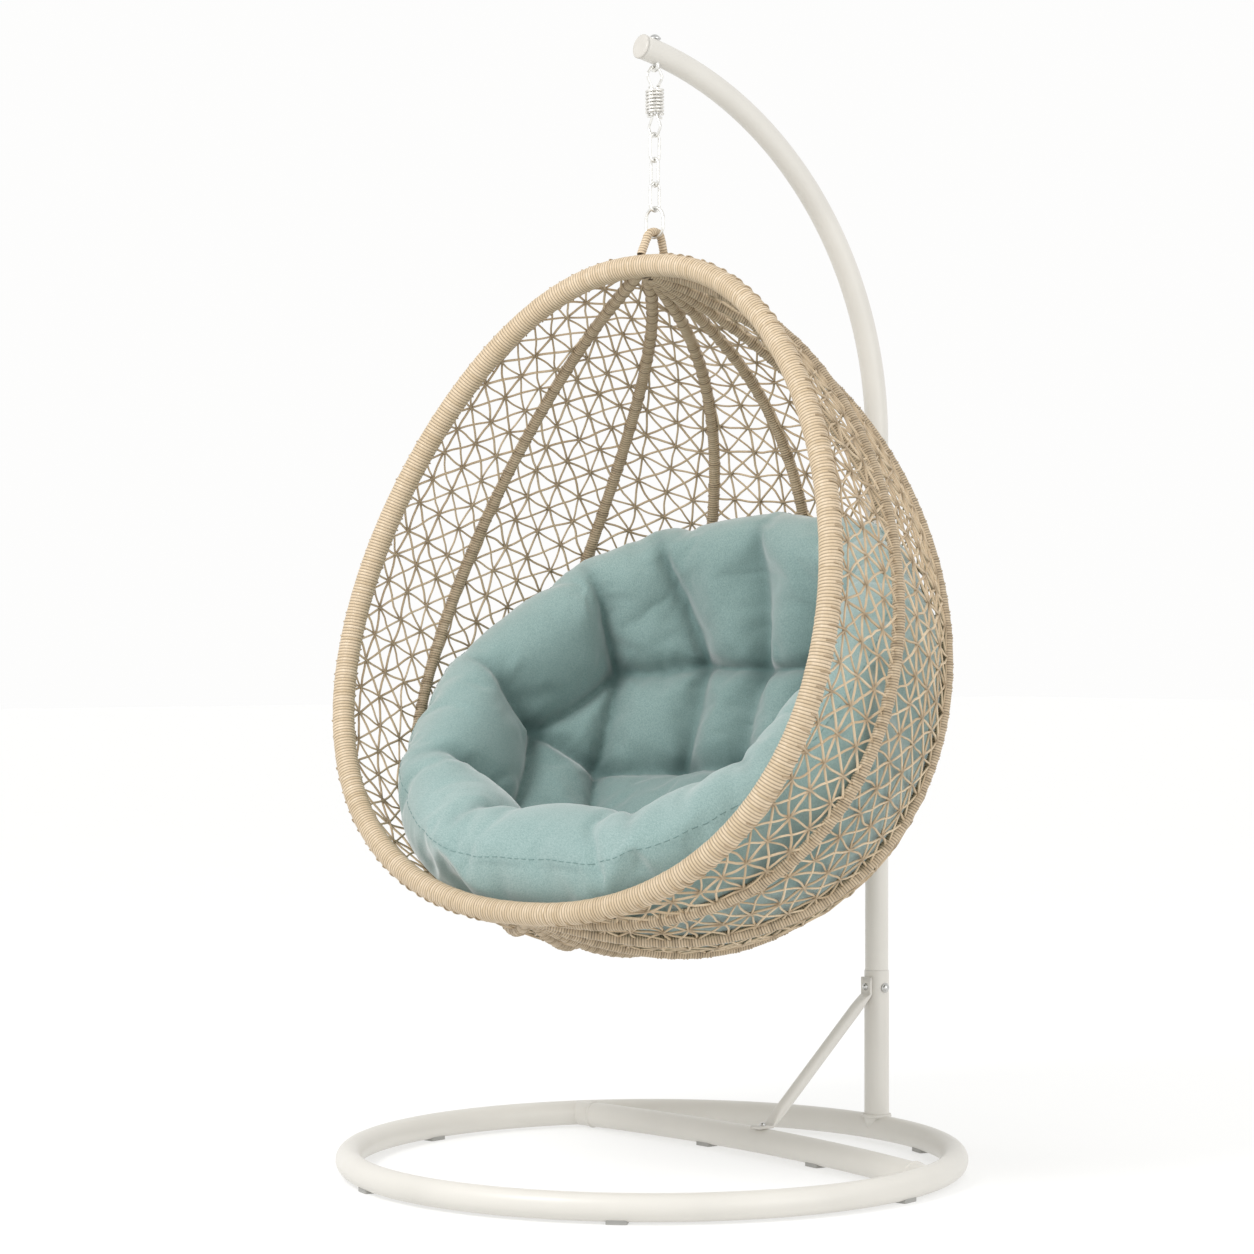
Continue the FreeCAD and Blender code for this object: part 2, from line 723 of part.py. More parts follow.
def dish(inset):
    """The cushion's closed form, every face moved inwards by the inset."""
    under = (half(rib_size) + cushion_gap) * cushion_slant + inset
    headings = [2 * math.pi * index / cushion_around for index in range(cushion_around)]

    def surface_ring(share, is_top):
        ring = []
        for heading in headings:
            way = cushion_way(edge_lean(heading) * share, heading)
            front_share = half(1 + math.cos(heading))
            thick = cushion_thickness + (cushion_lip - cushion_thickness) * front_share * share ** 2 - 2 * inset
            ring.append(cushion_eye + way * (ray_to_shell(way) - under - (thick if is_top else 0)))
        return ring

    shares = [step / cushion_rings for step in range(1, cushion_rings + 1)]
    lower = [surface_ring(share, False) for share in shares]
    upper = [surface_ring(share, True) for share in reversed(shares)]
    nose = []
    for heading, outer_place, inner_place in zip(headings, lower[-1], upper[0]):
        beyond = cushion_way(edge_lean(heading) + half(math.pi), heading)
        nose.append((outer_place + inner_place) * 0.5 + beyond * (cushion_nose - inset))
    rings = lower + [nose] + upper
    pole_low = cushion_eye + cushion_axis * (ray_to_shell(cushion_axis) - under)
    pole_top = pole_low - cushion_axis * (cushion_thickness - 2 * inset)
    faces = []
    for index in range(cushion_around):
        after = (index + 1) % cushion_around
        faces.append(triangle(pole_low, rings[0][index], rings[0][after]))
        faces.append(triangle(pole_top, rings[-1][after], rings[-1][index]))
        for first, second in zip(rings, rings[1:]):
            faces.append(triangle(first[index], second[index], second[after]))
            faces.append(triangle(first[index], second[after], first[after]))
    solid = Part.Solid(Part.Shell(faces))
    if solid.Volume < 0:
        solid.reverse()
    return solid


def cushion():
    """A closed cover; the light filling inside it is left empty so that it weighs what it should."""
    return dish(0.0).cut(dish(cushion_cover))


def triangle(first, second, third):
    return Part.Face(Part.makePolygon([first, second, third, first]))


# ---------------------------------------------------------------------- output
def hung(shape):
    """Turns a basket piece to the way the basket hangs."""
    return turned(shape, basket_yaw)


def all_pieces():
    pieces = {
        "base_ring": base_ring(),
        "cross_bar": cross_bar(),
        "glide_feet": glide_feet(),
        "lower_post": lower_post(),
        "arm_tube": arm(),
        "arm_end_cap": arm_end_cap(),
        "post_bolts": post_bolts(),
        "brace": brace(),
        "brace_screws": brace_screws(),
        "hook_bolt": hook_bolt(),
        "hook_nut": hook_nut(),
        "upper_drawbar": upper_drawbar(),
        "spring_coil": spring_coil(),
        "lower_drawbar": lower_drawbar(),
        "hanging_ring": hanging_ring(),
        "hanger_loop": hung(hanger_loop()),
        "rim_hoop": hung(rim_hoop()),
        "crown_plate": hung(crown_plate()),
        "keel_plate": hung(keel_plate()),
        "cushion": hung(cushion()),
    }
    for number in link_numbers:
        pieces["chain_link_%d" % number] = chain_link(number)
    psis = [math.radians(angle) for angle in rib_angles]
    for number, psi in enumerate(psis, 1):
        pieces["rib_%d" % number] = hung(rib(psi))
    edges = [-half(math.pi)] + psis + [half(math.pi)]
    for number, (left, right) in enumerate(zip(edges, edges[1:]), 1):
        pieces["weave_panel_%d" % number] = hung(weave_panel(left, right))
    return pieces


os.makedirs("parts", exist_ok=True)
for name, shape in all_pieces().items():
    box = shape.BoundBox
    print("%-16s solids %d valid %s volume %.0f  x %.0f..%.0f y %.0f..%.0f z %.1f..%.1f" % (
        name, len(shape.Solids), shape.isValid(), shape.Volume,
        box.XMin, box.XMax, box.YMin, box.YMax, box.ZMin, box.ZMax))
    shape.exportStep("parts/%s.step" % name)
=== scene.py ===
import math
import random

import bpy
import numpy as np
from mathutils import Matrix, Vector
from mathutils.bvhtree import BVHTree
from mathutils.kdtree import KDTree


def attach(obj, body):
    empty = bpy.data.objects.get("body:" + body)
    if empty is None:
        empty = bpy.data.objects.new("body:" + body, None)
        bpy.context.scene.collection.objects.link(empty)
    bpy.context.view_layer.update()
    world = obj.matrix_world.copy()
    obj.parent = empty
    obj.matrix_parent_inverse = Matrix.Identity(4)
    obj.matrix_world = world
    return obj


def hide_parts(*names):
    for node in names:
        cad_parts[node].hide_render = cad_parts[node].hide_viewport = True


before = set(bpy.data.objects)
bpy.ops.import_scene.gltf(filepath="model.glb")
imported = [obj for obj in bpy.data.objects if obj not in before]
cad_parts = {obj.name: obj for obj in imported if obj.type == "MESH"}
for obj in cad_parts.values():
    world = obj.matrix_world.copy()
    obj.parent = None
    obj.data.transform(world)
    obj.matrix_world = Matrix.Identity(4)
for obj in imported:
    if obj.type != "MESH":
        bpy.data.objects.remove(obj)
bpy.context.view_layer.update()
scene = bpy.context.scene
print("frame loaded")


# ---- materials ----
class Wire:  # one output socket of a node, with plain arithmetic
    def __init__(self, net, socket):
        self.net = net
        self.socket = socket

    def math(self, operation, first, second=0.0):
        made = self.net.add("Math", {"operation": operation}, {0: first, 1: second})
        return Wire(self.net, made.outputs[0])

    def __add__(self, other):
        return self.math("ADD", self, other)

    def __radd__(self, other):
        return self.math("ADD", other, self)

    def __sub__(self, other):
        return self.math("SUBTRACT", self, other)

    def __rsub__(self, other):
        return self.math("SUBTRACT", other, self)

    def __mul__(self, other):
        return self.math("MULTIPLY", self, other)

    def __rmul__(self, other):
        return self.math("MULTIPLY", other, self)


class Finish:  # one material and its nodes
    def __init__(self, name, roughness=0.5, metallic=0.0, specular=0.5, sheen=0.0):
        self.material = bpy.data.materials.new(name)
        self.material.use_nodes = True
        self.tree = self.material.node_tree
        self.shader = self.tree.nodes["Principled BSDF"]
        for socket, value in (("Roughness", roughness), ("Metallic", metallic),
                              ("Specular IOR Level", specular), ("Sheen Weight", sheen)):
            self.shader.inputs[socket].default_value = value

    def feed(self, socket, value):
        if isinstance(value, Wire):
            self.tree.links.new(value.socket, socket)
        elif isinstance(value, tuple) and len(value) == 3 and socket.type == "RGBA":
            socket.default_value = (*value, 1.0)
        else:
            socket.default_value = value

    def add(self, kind, settings, inputs):
        made = self.tree.nodes.new("ShaderNode" + kind)
        for key, value in settings.items():
            setattr(made, key, value)
        for key, value in inputs.items():
            self.feed(made.inputs[key], value)
        return made

    def out(self, kind, settings, inputs, output=0):
        return Wire(self, self.add(kind, settings, inputs).outputs[output])

    def attribute(self, name):
        return self.out("Attribute", {"attribute_name": name}, {}, "Fac")

    def place(self, stretch):
        where = self.out("TexCoord", {}, {}, "Object")
        return self.out("Mapping", {}, {"Vector": where, "Scale": stretch})

    def noise(self, scale, detail=3.0, stretch=(1.0, 1.0, 1.0)):
        inputs = {"Vector": self.place(stretch), "Scale": scale, "Detail": detail, "Roughness": 0.5}
        return self.out("TexNoise", {}, inputs, 0)

    def spread(self, value, low, high, toLow=0.0, toHigh=1.0):
        inputs = {"Value": value, "From Min": low, "From Max": high, "To Min": toLow, "To Max": toHigh}
        return self.out("MapRange", {}, inputs)

    def mix(self, share, first, second):
        return self.out("Mix", {"data_type": "RGBA"}, {0: share, 6: first, 7: second}, 2)

    def set(self, socket, value):
        self.feed(self.shader.inputs[socket], value)

    def bump(self, height, strength, distance):
        inputs = {"Height": height, "Strength": strength, "Distance": distance}
        self.set("Normal", self.out("Bump", {}, inputs))


def tint(red, green, blue):  # a paint chip in 0..255, as a linear colour
    return tuple((c / 255 / 12.92) if c < 11 else ((c / 255 + 0.055) / 1.055) ** 2.4
                 for c in (red, green, blue))


def makePowderCoat():
    look = {"paint": (213, 210, 203), "worn": (207, 204, 197), "peelScale": 900.0, "peelDepth": 0.0003}
    finish = Finish("powderCoat", roughness=0.36, specular=0.45)
    patches = finish.spread(finish.noise(7.0, 4.0), 0.35, 0.75)
    finish.set("Base Color", finish.mix(patches, tint(*look["paint"]), tint(*look["worn"])))
    finish.set("Roughness", finish.spread(finish.noise(60.0), 0.3, 0.7, 0.34, 0.40))
    finish.bump(finish.noise(look["peelScale"], 1.0), 0.05, look["peelDepth"])
    return finish.material


def makePlastic(name, colour, rough):
    finish = Finish(name, roughness=rough, specular=0.4)
    soft = finish.noise(60.0)
    finish.set("Base Color", finish.mix(soft, tint(*colour), tint(*[c * 0.9 for c in colour])))
    finish.bump(finish.noise(1400.0, 1.0), 0.1, 0.0002)
    return finish.material


def makeMetal(name, colour, rough, scratch):
    finish = Finish(name, roughness=rough, metallic=1.0)
    grime = finish.spread(finish.noise(120.0, 4.0), 0.4, 0.75)
    finish.set("Base Color", finish.mix(grime, tint(*colour), tint(*[c * 0.86 for c in colour])))
    finish.set("Roughness", finish.spread(finish.noise(240.0, 3.0), 0.3, 0.7, rough * 0.75, rough * 1.4))
    finish.bump(finish.noise(scratch, 2.0, (1.0, 1.0, 0.15)), 0.15, 0.0002)
    return finish.material


def makeCane(name, pale, tan, dark, rough=0.42):
    # tone: one number for every wrap or strand; the second attribute paints shade, deepest between two wraps
    # and at the weave's knots, and gives the ties a darker tone
    finish = Finish(name, roughness=rough, specular=0.4)
    tone = finish.attribute("tone")
    shade_and_tie_tone = finish.attribute("shade_and_tie_tone")
    stain = finish.spread(finish.noise(9.0, 5.0), 0.35, 0.72)
    fibre = finish.spread(finish.noise(420.0, 4.0, (1.0, 1.0, 0.35)), 0.3, 0.7)
    colour = finish.mix(tone, tint(*pale), tint(*tan))
    colour = finish.mix(stain * 0.35, colour, tint(*tan))
    colour = finish.mix(fibre * 0.22, colour, tint(*dark))
    # painted shade: darkens towards a deep brown in the grooves between wraps and at knots; on the ties a
    # darker tone of their own
    colour = finish.mix(shade_and_tie_tone * 0.8, colour, tint(*[c * 0.55 for c in dark]))
    finish.set("Base Color", colour)
    finish.set("Roughness", finish.spread(fibre, 0.0, 1.0, rough * 0.8, rough * 1.3))
    finish.bump(fibre, 0.35, 0.0004)
    return finish.material


def makeCloth():
    look = {"face": (122, 148, 145), "fleck": (150, 173, 170), "shade": (98, 126, 123), "creaseShadeAndSeam": (56, 84, 82),
            "threads": 910.0}
    finish = Finish("cushionCloth", roughness=0.85, specular=0.3, sheen=0.65)
    seam = finish.attribute("seam")
    creaseShade = finish.attribute("creaseShade")
    warp = finish.noise(look["threads"], 2.0, (1.0, 0.25, 1.0))
    weft = finish.noise(look["threads"], 2.0, (0.25, 1.0, 0.4))
    heather = finish.spread(warp * 0.5 + weft * 0.5, 0.38, 0.62)
    colour = finish.mix(heather, tint(*look["face"]), tint(*look["fleck"]))
    colour = finish.mix(finish.spread(finish.noise(5.0, 3.0), 0.3, 0.75) * 0.3, colour, tint(*look["shade"]))
    # painted shade: the cloth darkens towards a deep teal in the creases and round the tufts; the seam line
    # below uses the same deep teal
    colour = finish.mix(creaseShade * 0.75, colour, tint(*look["creaseShadeAndSeam"]))
    colour = finish.mix(seam * 0.35, colour, tint(*look["creaseShadeAndSeam"]))
    finish.set("Base Color", colour)
    finish.bump(warp + weft, 0.4, 0.0006)
    return finish.material


powderCoat = makePowderCoat()
whitePlastic = makePlastic("whitePlastic", (198, 194, 187), 0.45)
greyPlastic = makePlastic("greyPlastic", (168, 167, 163), 0.5)
boltSteel = makeMetal("boltSteel", (206, 206, 204), 0.24, 700.0)
zinc = makeMetal("zinc", (238, 237, 233), 0.34, 900.0)
springSteel = makeMetal("springSteel", (240, 238, 233), 0.36, 900.0)
rimCane = makeCane("rimCane", (218, 199, 172), (198, 177, 146), (160, 137, 106))
ribCane = makeCane("ribCane", (205, 186, 158), (184, 164, 135), (140, 120, 92))
weaveCane = makeCane("weaveCane", (220, 200, 170), (188, 166, 135), (142, 120, 92), 0.5)
cloth = makeCloth()
thread = makePlastic("thread", (118, 146, 143), 0.8)
print("materials made")


# ---- mesh helpers ----
def piece(name, points, quads, material, body, values=None, slot=None):
    mesh = bpy.data.meshes.new(name)
    mesh.from_pydata(np.asarray(points, dtype=float).tolist(), [], np.asarray(quads).tolist())
    for key, numbers in (values or {}).items():
        data = mesh.attributes.new(key, "FLOAT", "POINT")
        data.data.foreach_set("value", np.ascontiguousarray(numbers, dtype=np.float32))
    mesh.polygons.foreach_set("use_smooth", [True] * len(mesh.polygons))
    mesh.materials.append(material)
    mesh.update()
    made = bpy.data.objects.new(name, mesh)
    scene.collection.objects.link(made)
    if body:
        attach(made, body)
    return made


def unit(rows):
    return rows / np.maximum(np.linalg.norm(rows, axis=-1, keepdims=True), 1e-9)


def railFrames(path, reference, closed=False):
    ahead = np.roll(path, -1, 0)
    behind = np.roll(path, 1, 0)
    if not closed:
        ahead[-1] = path[-1]
        behind[0] = path[0]
    tangent = unit(ahead - behind)
    reference = np.broadcast_to(reference, path.shape)
    side = unit(reference - (reference * tangent).sum(1, keepdims=True) * tangent)
    return tangent, side, np.cross(tangent, side)


def ringQuads(rings, around, closed=False):
    row = np.arange(rings if closed else rings - 1)[:, None]
    column = np.arange(around)[None, :]
    nextRow = (row + 1) % rings
    nextColumn = (column + 1) % around
    corners = [row * around + column, row * around + nextColumn,
               nextRow * around + nextColumn, nextRow * around + column]
    return np.stack([np.broadcast_to(c, (len(row), around)) for c in corners], -1).reshape(-1, 4)


def tube(path, radius, around, reference, closed=False):
    path = np.asarray(path, dtype=float)
    tangent, side, up = railFrames(path, np.asarray(reference, dtype=float), closed)
    radius = np.broadcast_to(np.asarray(radius, dtype=float).reshape(-1, 1), (len(path), around))
    if not closed:  # a rounded-off end on each side
        path = np.concatenate([path[:1] - tangent[:1] * 1e-5, path, path[-1:] + tangent[-1:] * 1e-5])
        side = np.concatenate([side[:1], side, side[-1:]])
        up = np.concatenate([up[:1], up, up[-1:]])
        radius = np.concatenate([radius[:1] * 0.01, radius, radius[-1:] * 0.01])
    turn = np.linspace(0, 2 * math.pi, around, endpoint=False)
    ring = np.cos(turn)[None, :, None] * side[:, None] + np.sin(turn)[None, :, None] * up[:, None]
    points = path[:, None] + ring * radius[..., None]
    return points.reshape(-1, 3), ringQuads(len(path), around, closed)


def lathe(profile, start, along, around=32):
    # profile: (distance along, radius) pairs
    start = np.asarray(start, dtype=float)
    along = unit(np.asarray(along, dtype=float))
    helper = np.array((0.0, 0.0, 1.0)) if abs(along[2]) < 0.9 else np.array((1.0, 0.0, 0.0))
    side = unit(np.cross(along, helper))
    up = np.cross(along, side)
    turn = np.linspace(0, 2 * math.pi, around, endpoint=False)
    ring = np.cos(turn)[:, None] * side + np.sin(turn)[:, None] * up
    points = np.concatenate([start + along * run + ring * max(radius, 1e-5) for run, radius in profile])
    return points, ringQuads(len(profile), around)


def joined(parts):
    points = []
    quads = []
    count = 0
    for partPoints, partQuads in parts:
        points.append(partPoints)
        quads.append(np.asarray(partQuads) + count)
        count += len(partPoints)
    return np.concatenate(points), np.concatenate(quads)


def arcPoints(centre, radius, start, end, count, first, second):
    turn = np.radians(np.linspace(start, end, count))
    first = np.asarray(first, dtype=float)
    second = np.asarray(second, dtype=float)
    return np.asarray(centre) + radius * (np.cos(turn)[:, None] * first + np.sin(turn)[:, None] * second)


def bumpy(values, seed, count=5):  # a smooth pseudo-random curve between -1 and 1
    draw = random.Random(seed)
    total = np.zeros_like(np.asarray(values, dtype=float))
    for index in range(count):
        total += np.sin(values * draw.uniform(0.6, 2.4) + draw.uniform(0, 6.3)) * draw.uniform(0.5, 1)
    return total / count * 1.4


# ---- the stand ----
stand = {"ringRadius": 0.52, "ringHeight": 0.0255, "tube": 0.045, "postTop": 0.312, "armTube": 0.042,
         "bendStart": 1.279, "bendRadius": 0.664, "armAngle": 79.5, "inSleeve": 0.12, "barEnd": 67.5,
         "barBow": 0.050, "bead": 0.0035, "barBeadInset": 0.018, "postBeadRise": 0.0215}
postY = stand["ringRadius"]
armCentreY = postY - stand["bendRadius"]


def weldBead(centre, radius, normal, seed):  # the rippled seam where two tubes meet
    path = arcPoints(centre, radius, 0, 360, 160, unit(np.cross(normal, (0.3, 0.2, 0.93))),
                     unit(np.cross(normal, np.cross(normal, (0.3, 0.2, 0.93)))))[:-1]
    step = np.arange(len(path))
    size = stand["bead"] * (1 + 0.16 * np.abs(np.sin(step * 0.9)) + 0.1 * bumpy(step * 0.2, seed))
    return tube(path, size, 8, normal, closed=True)


def buildStand():
    ring = arcPoints((0, 0, stand["ringHeight"]), stand["ringRadius"], 0, 360, 241, (1, 0, 0), (0, 1, 0))[:-1]
    made = piece("baseRing", *tube(ring, stand["tube"] / 2, 40, (0, 0, 1), closed=True), powderCoat, "stand",
                 slot="powder_coat")
    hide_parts("base_ring")

    endX = stand["ringRadius"] * math.sin(math.radians(stand["barEnd"]))
    endY = stand["ringRadius"] * math.cos(math.radians(stand["barEnd"]))
    bow = stand["barBow"]
    bowRadius = (endX ** 2 + bow ** 2) / (2 * bow)
    centre = (0, endY + bow - bowRadius, stand["ringHeight"])
    half = math.degrees(math.asin(endX / bowRadius))
    bar = arcPoints(centre, bowRadius, 90 - half, 90 + half, 90, (1, 0, 0), (0, 1, 0))
    made = piece("crossBar", *tube(bar, stand["tube"] / 2, 40, (0, 0, 1)), powderCoat, "stand",
                 slot="powder_coat")
    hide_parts("cross_bar")
    beads = []
    for index, side in ((2, 1), (-3, -1)):
        inward = unit(bar[index] - bar[0 if side > 0 else -1])
        centre = bar[index] + inward * stand["barBeadInset"]
        beads.append(weldBead(centre, stand["tube"] / 2 - 0.0016, inward, side))
    foot = (0, postY, stand["ringHeight"] + stand["postBeadRise"])
    beads.append(weldBead(foot, stand["tube"] / 2 + 0.0006, (0, 0, 1), 5))
    piece("weldBeads", *joined(beads), powderCoat, "stand", slot="powder_coat")

    outer = stand["tube"] / 2
    inner = stand["armTube"] / 2 + 0.0002
    top = stand["postTop"]
    profile = [(0, inner), (0, outer), (0.02, outer), (top - 0.0271, outer), (top - 0.0259, outer - 0.0008),
               (top - 0.0255, inner + 0.0003), (top - 0.027, inner), (top - 0.06, inner)]
    sleeve = lathe(profile, (0, postY, stand["ringHeight"]), (0, 0, 1), 48)
    made = piece("postSleeve", *sleeve, powderCoat, "stand", slot="powder_coat")
    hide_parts("lower_post")

    straight = np.linspace(top - stand["inSleeve"], stand["bendStart"], 60)
    low = np.stack([np.zeros(60), np.full(60, postY), straight], 1)
    bend = arcPoints((0, armCentreY, stand["bendStart"]), stand["bendRadius"], 0, stand["armAngle"], 120,
                     (0, 1, 0), (0, 0, 1))
    path = np.concatenate([low[:-1], bend])
    made = piece("armTube", *tube(path, stand["armTube"] / 2, 44, (1, 0, 0)), powderCoat, "stand",
                 slot="powder_coat")
    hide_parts("arm_tube")
    out = unit(bend[-1] - bend[-2])
    radius = stand["armTube"] / 2
    cap = [(-0.001, radius - 0.001), (0, radius + 0.0006), (0.0012, radius + 0.0006), (0.0028, radius - 0.001),
           (0.0038, radius - 0.004), (0.0042, radius * 0.5), (0.0043, 0)]
    made = piece("armEndCap", *lathe(cap, bend[-1], out, 44), whitePlastic, "stand", slot="white_plastic")
    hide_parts("arm_end_cap")


def domeHead(seat, out, size):  # washer face, flange and a domed cap nut
    profile = [(-0.0005, 0), (-0.0005, size), (0, size * 1.08), (size * 0.18, size * 1.08),
               (size * 0.26, size * 0.98)]
    for step in range(9):
        turn = math.radians(90 * step / 8)
        profile.append((size * (0.28 + 0.62 * math.sin(turn)), size * 0.88 * math.cos(turn)))
    return lathe(profile, seat, out, 28)


fittings = {"boltHeight": 0.281, "boltSize": 0.008, "screwSize": 0.006, "braceTop": 0.283, "braceFoot": 0.0505,
            "tabHalf": 0.017, "tabThick": 0.0025, "tubeHalf": 0.011, "tabWiden": 0.002, "tabThin": 0.0085}


def buildFittings():
    heads = []
    for side in (-1, 1):
        heads.append(domeHead((side * stand["tube"] / 2, postY, fittings["boltHeight"]), (side, 0, 0),
                              fittings["boltSize"]))
    made = piece("postBolts", *joined(heads), boltSteel, "stand", slot="bolt_steel")
    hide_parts("post_bolts")

    # the brace: one tube whose flattened ends are bolted to the bar and the post
    barY = stand["ringRadius"] * math.cos(math.radians(stand["barEnd"])) + stand["barBow"]
    lower = np.array((0, barY, fittings["braceFoot"]))
    upper = np.array((0, postY - stand["tube"] / 2 - fittings["tabThick"], fittings["braceTop"]))
    elbowLow = lower + (0, 0.014, 0)
    elbowHigh = upper - (0, 0, 0.014)
    run = unit(elbowHigh - elbowLow)
    rail = [lower - (0, fittings["tabHalf"], 0), lower, elbowLow]
    rail += [elbowLow + run * reach for reach in (0.006, 0.016, 0.028, 0.04, 0.1)]
    rail += [elbowHigh - run * reach for reach in (0.1, 0.04, 0.028, 0.016, 0.006)]
    rail += [elbowHigh, upper, upper + (0, 0, fittings["tabHalf"])]
    flat = [1, 1, 1, 0.86, 0.5, 0.16, 0, 0, 0, 0, 0.16, 0.5, 0.86, 1, 1, 1]
    rail = np.array(rail)
    around = 40
    turn = np.linspace(0, 2 * math.pi, around, endpoint=False)
    tangent, across, thin = railFrames(rail, (1, 0, 0))
    tangent[:3] = (0, 1, 0)
    tangent[-3:] = (0, 0, 1)
    thin = np.cross(tangent, across)
    rows = []
    for place, share, wide, up in zip(rail, flat, across, thin):
        power = 1 - 0.72 * share
        cosine = np.sign(np.cos(turn)) * np.abs(np.cos(turn)) ** power
        sine = np.sign(np.sin(turn)) * np.abs(np.sin(turn)) ** power
        halfWide = fittings["tubeHalf"] + fittings["tabWiden"] * share
        halfThick = fittings["tubeHalf"] - fittings["tabThin"] * share
        rows.append(place + cosine[:, None] * wide * halfWide + sine[:, None] * up * halfThick)
    rows.insert(0, np.repeat(rail[:1], around, 0))
    rows.append(np.repeat(rail[-1:], around, 0))
    made = piece("brace", np.concatenate(rows), ringQuads(len(rows), around), powderCoat, "stand",
                 slot="powder_coat")
    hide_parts("brace")
    screws = [domeHead(lower + (0, 0, 0.0026), (0, 0, 1), fittings["screwSize"]),
              domeHead(upper - (0, 0.0026, 0), (0, -1, 0), fittings["screwSize"])]
    made = piece("braceScrews", *joined(screws), boltSteel, "stand", slot="bolt_steel")
    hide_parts("brace_screws")


buildStand()
buildFittings()
print("stand built")


# ---- the basket's own shape ----
basket = {"hangY": 0.006, "rimBack": 0.037, "rimHeight": 1.553, "tilt": 15.2, "length": 1.131, "yaw": 11.0,
          "sag": 0.155, "ribAngles": (-72, -52, -29, 0, 29, 52, 72)}
mouthGirth = (0.526, 0.90, 0.162)  # half width, fullness, share by which the foot is wider
depthGirth = (0.630, 0.70, -0.07)
tilt = math.radians(basket["tilt"])
downMouth = np.array((0, -math.sin(tilt), -math.cos(tilt)))
intoShell = np.array((0, math.cos(tilt), -math.sin(tilt)))
rimTop = np.array((0, basket["hangY"] - basket["rimBack"], basket["rimHeight"]))


def girth(size, fullness, egg, phi):
    return size * np.clip(np.sin(phi), 1e-7, 1) ** fullness * (1 - egg * np.cos(phi))


def shellPoint(psi, phi):  # psi turns about the mouth's long axis, phi runs down
    psi, phi = np.broadcast_arrays(np.asarray(psi, dtype=float), np.asarray(phi, dtype=float))
    side = np.sin(psi)
    back = np.maximum(np.cos(psi), 0)
    spread = (np.abs(side) ** 3 + back ** 3) ** (-1 / 3)
    across = girth(*mouthGirth, phi) * side * spread
    depth = girth(*depthGirth, phi) * back * spread
    run = basket["length"] / 2 * (1 - np.cos(phi)) + basket["sag"] * depth
    sideways = across[..., None] * np.array((1, 0, 0))
    return rimTop + sideways + run[..., None] * downMouth + depth[..., None] * intoShell


def shellNormal(psi, phi):  # outwards
    step = 1e-4
    side = shellPoint(np.minimum(psi + step, math.pi / 2), phi)
    side = side - shellPoint(np.maximum(psi - step, -math.pi / 2), phi)
    down = shellPoint(psi, phi + step) - shellPoint(psi, phi - step)
    return unit(np.cross(down, side))


def hung(points):  # turned to the way the basket hangs
    turn = math.radians(basket["yaw"])
    points = np.asarray(points, dtype=float)
    x = points[..., 0]
    y = points[..., 1] - basket["hangY"]
    return np.stack([x * math.cos(turn) - y * math.sin(turn),
                     x * math.sin(turn) + y * math.cos(turn) + basket["hangY"], points[..., 2]], -1)


def wound(path, reference, radius, pitch, samples, around, seed, closed=False, ridge=0.0011, tieEvery=0):
    # a cane strand laid round a rod: every ring of points follows the helix of the strand
    draw = np.random.RandomState(seed)
    tangent, side, up = railFrames(path, np.asarray(reference, dtype=float), closed)
    loop = np.concatenate([path, path[:1]]) if closed else path
    side = np.concatenate([side, side[:1]]) if closed else side
    up = np.concatenate([up, up[:1]]) if closed else up
    reach = np.concatenate([[0], np.cumsum(np.linalg.norm(np.diff(loop, axis=0), axis=1))])
    wraps = max(3, int(round(reach[-1] / pitch)))
    pitch = reach[-1] / wraps
    rings = wraps * samples
    index = np.arange(rings)
    phase = (index % samples) / samples
    wrap = index // samples
    bulge = np.sqrt(np.maximum(1 - (2 * phase - 1) ** 2, 0))
    wobble = draw.normal(0, 0.16, wraps)[wrap]
    tie = np.zeros(rings)
    if tieEvery:
        tie = ((wrap + draw.randint(0, 2, wraps)[wrap]) % tieEvery == 0) * 1.0
    size = radius - ridge + ridge * bulge * (1 + wobble) + tie * cane["tieRise"] * bulge
    column = np.arange(around)
    along = (index[:, None] / samples + column[None, :] / around) * pitch
    if closed:
        along = along % reach[-1]
    else:
        along = np.minimum(along, reach[-1])

    def at(values):
        return np.stack([np.interp(along, reach, values[:, axis]) for axis in range(3)], -1)

    turn = column / around * 2 * math.pi
    outward = np.cos(turn)[None, :, None] * unit(at(side)) + np.sin(turn)[None, :, None] * unit(at(up))
    points = at(loop) + outward * size[:, None, None]
    row = np.arange(rings)[:, None]
    # past the last column the strand goes on in the next wrap
    beside = ((column + 1) % around + np.where(column == around - 1, samples * around, 0))[None, :]
    here = row * around + column[None, :]
    right = row * around + beside
    quads = np.stack(np.broadcast_arrays(here, right, right + around, here + around), -1).reshape(-1, 4)
    total = rings * around
    if closed:
        quads %= total
    else:
        quads = quads[(quads < total).all(1)]
    tone = np.clip(0.5 + draw.normal(0, 0.24, wraps)[wrap] + 0.18 * bumpy(wrap * 0.05, seed), 0, 1)
    values = {"tone": np.repeat(np.clip(tone + tie * 0.25, 0, 1), around),
              # painted shade in the grooves between wraps, plus a darker tone where a tie binds the rod
              "shade_and_tie_tone": np.repeat((1 - bulge) ** 1.3 + 0.18 * tie, around)}
    return points.reshape(-1, 3), quads, values


def woundPiece(name, path, reference, material, replaced, **size):
    points, quads, values = wound(path, reference, **size)
    made = piece(name, hung(points), quads, material, "basket", values, "rattan")
    if replaced:
        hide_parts(*replaced)
    return made


cane = {"rimRadius": 0.0195, "rimPitch": 0.0055, "ribRadius": 0.0105, "ribPitch": 0.0046, "loopRadius": 0.0075,
        "loopPitch": 0.005, "tieRise": 0.0012, "tieStrand": 0.0015, "tieGap": (0.019, 0.027)}


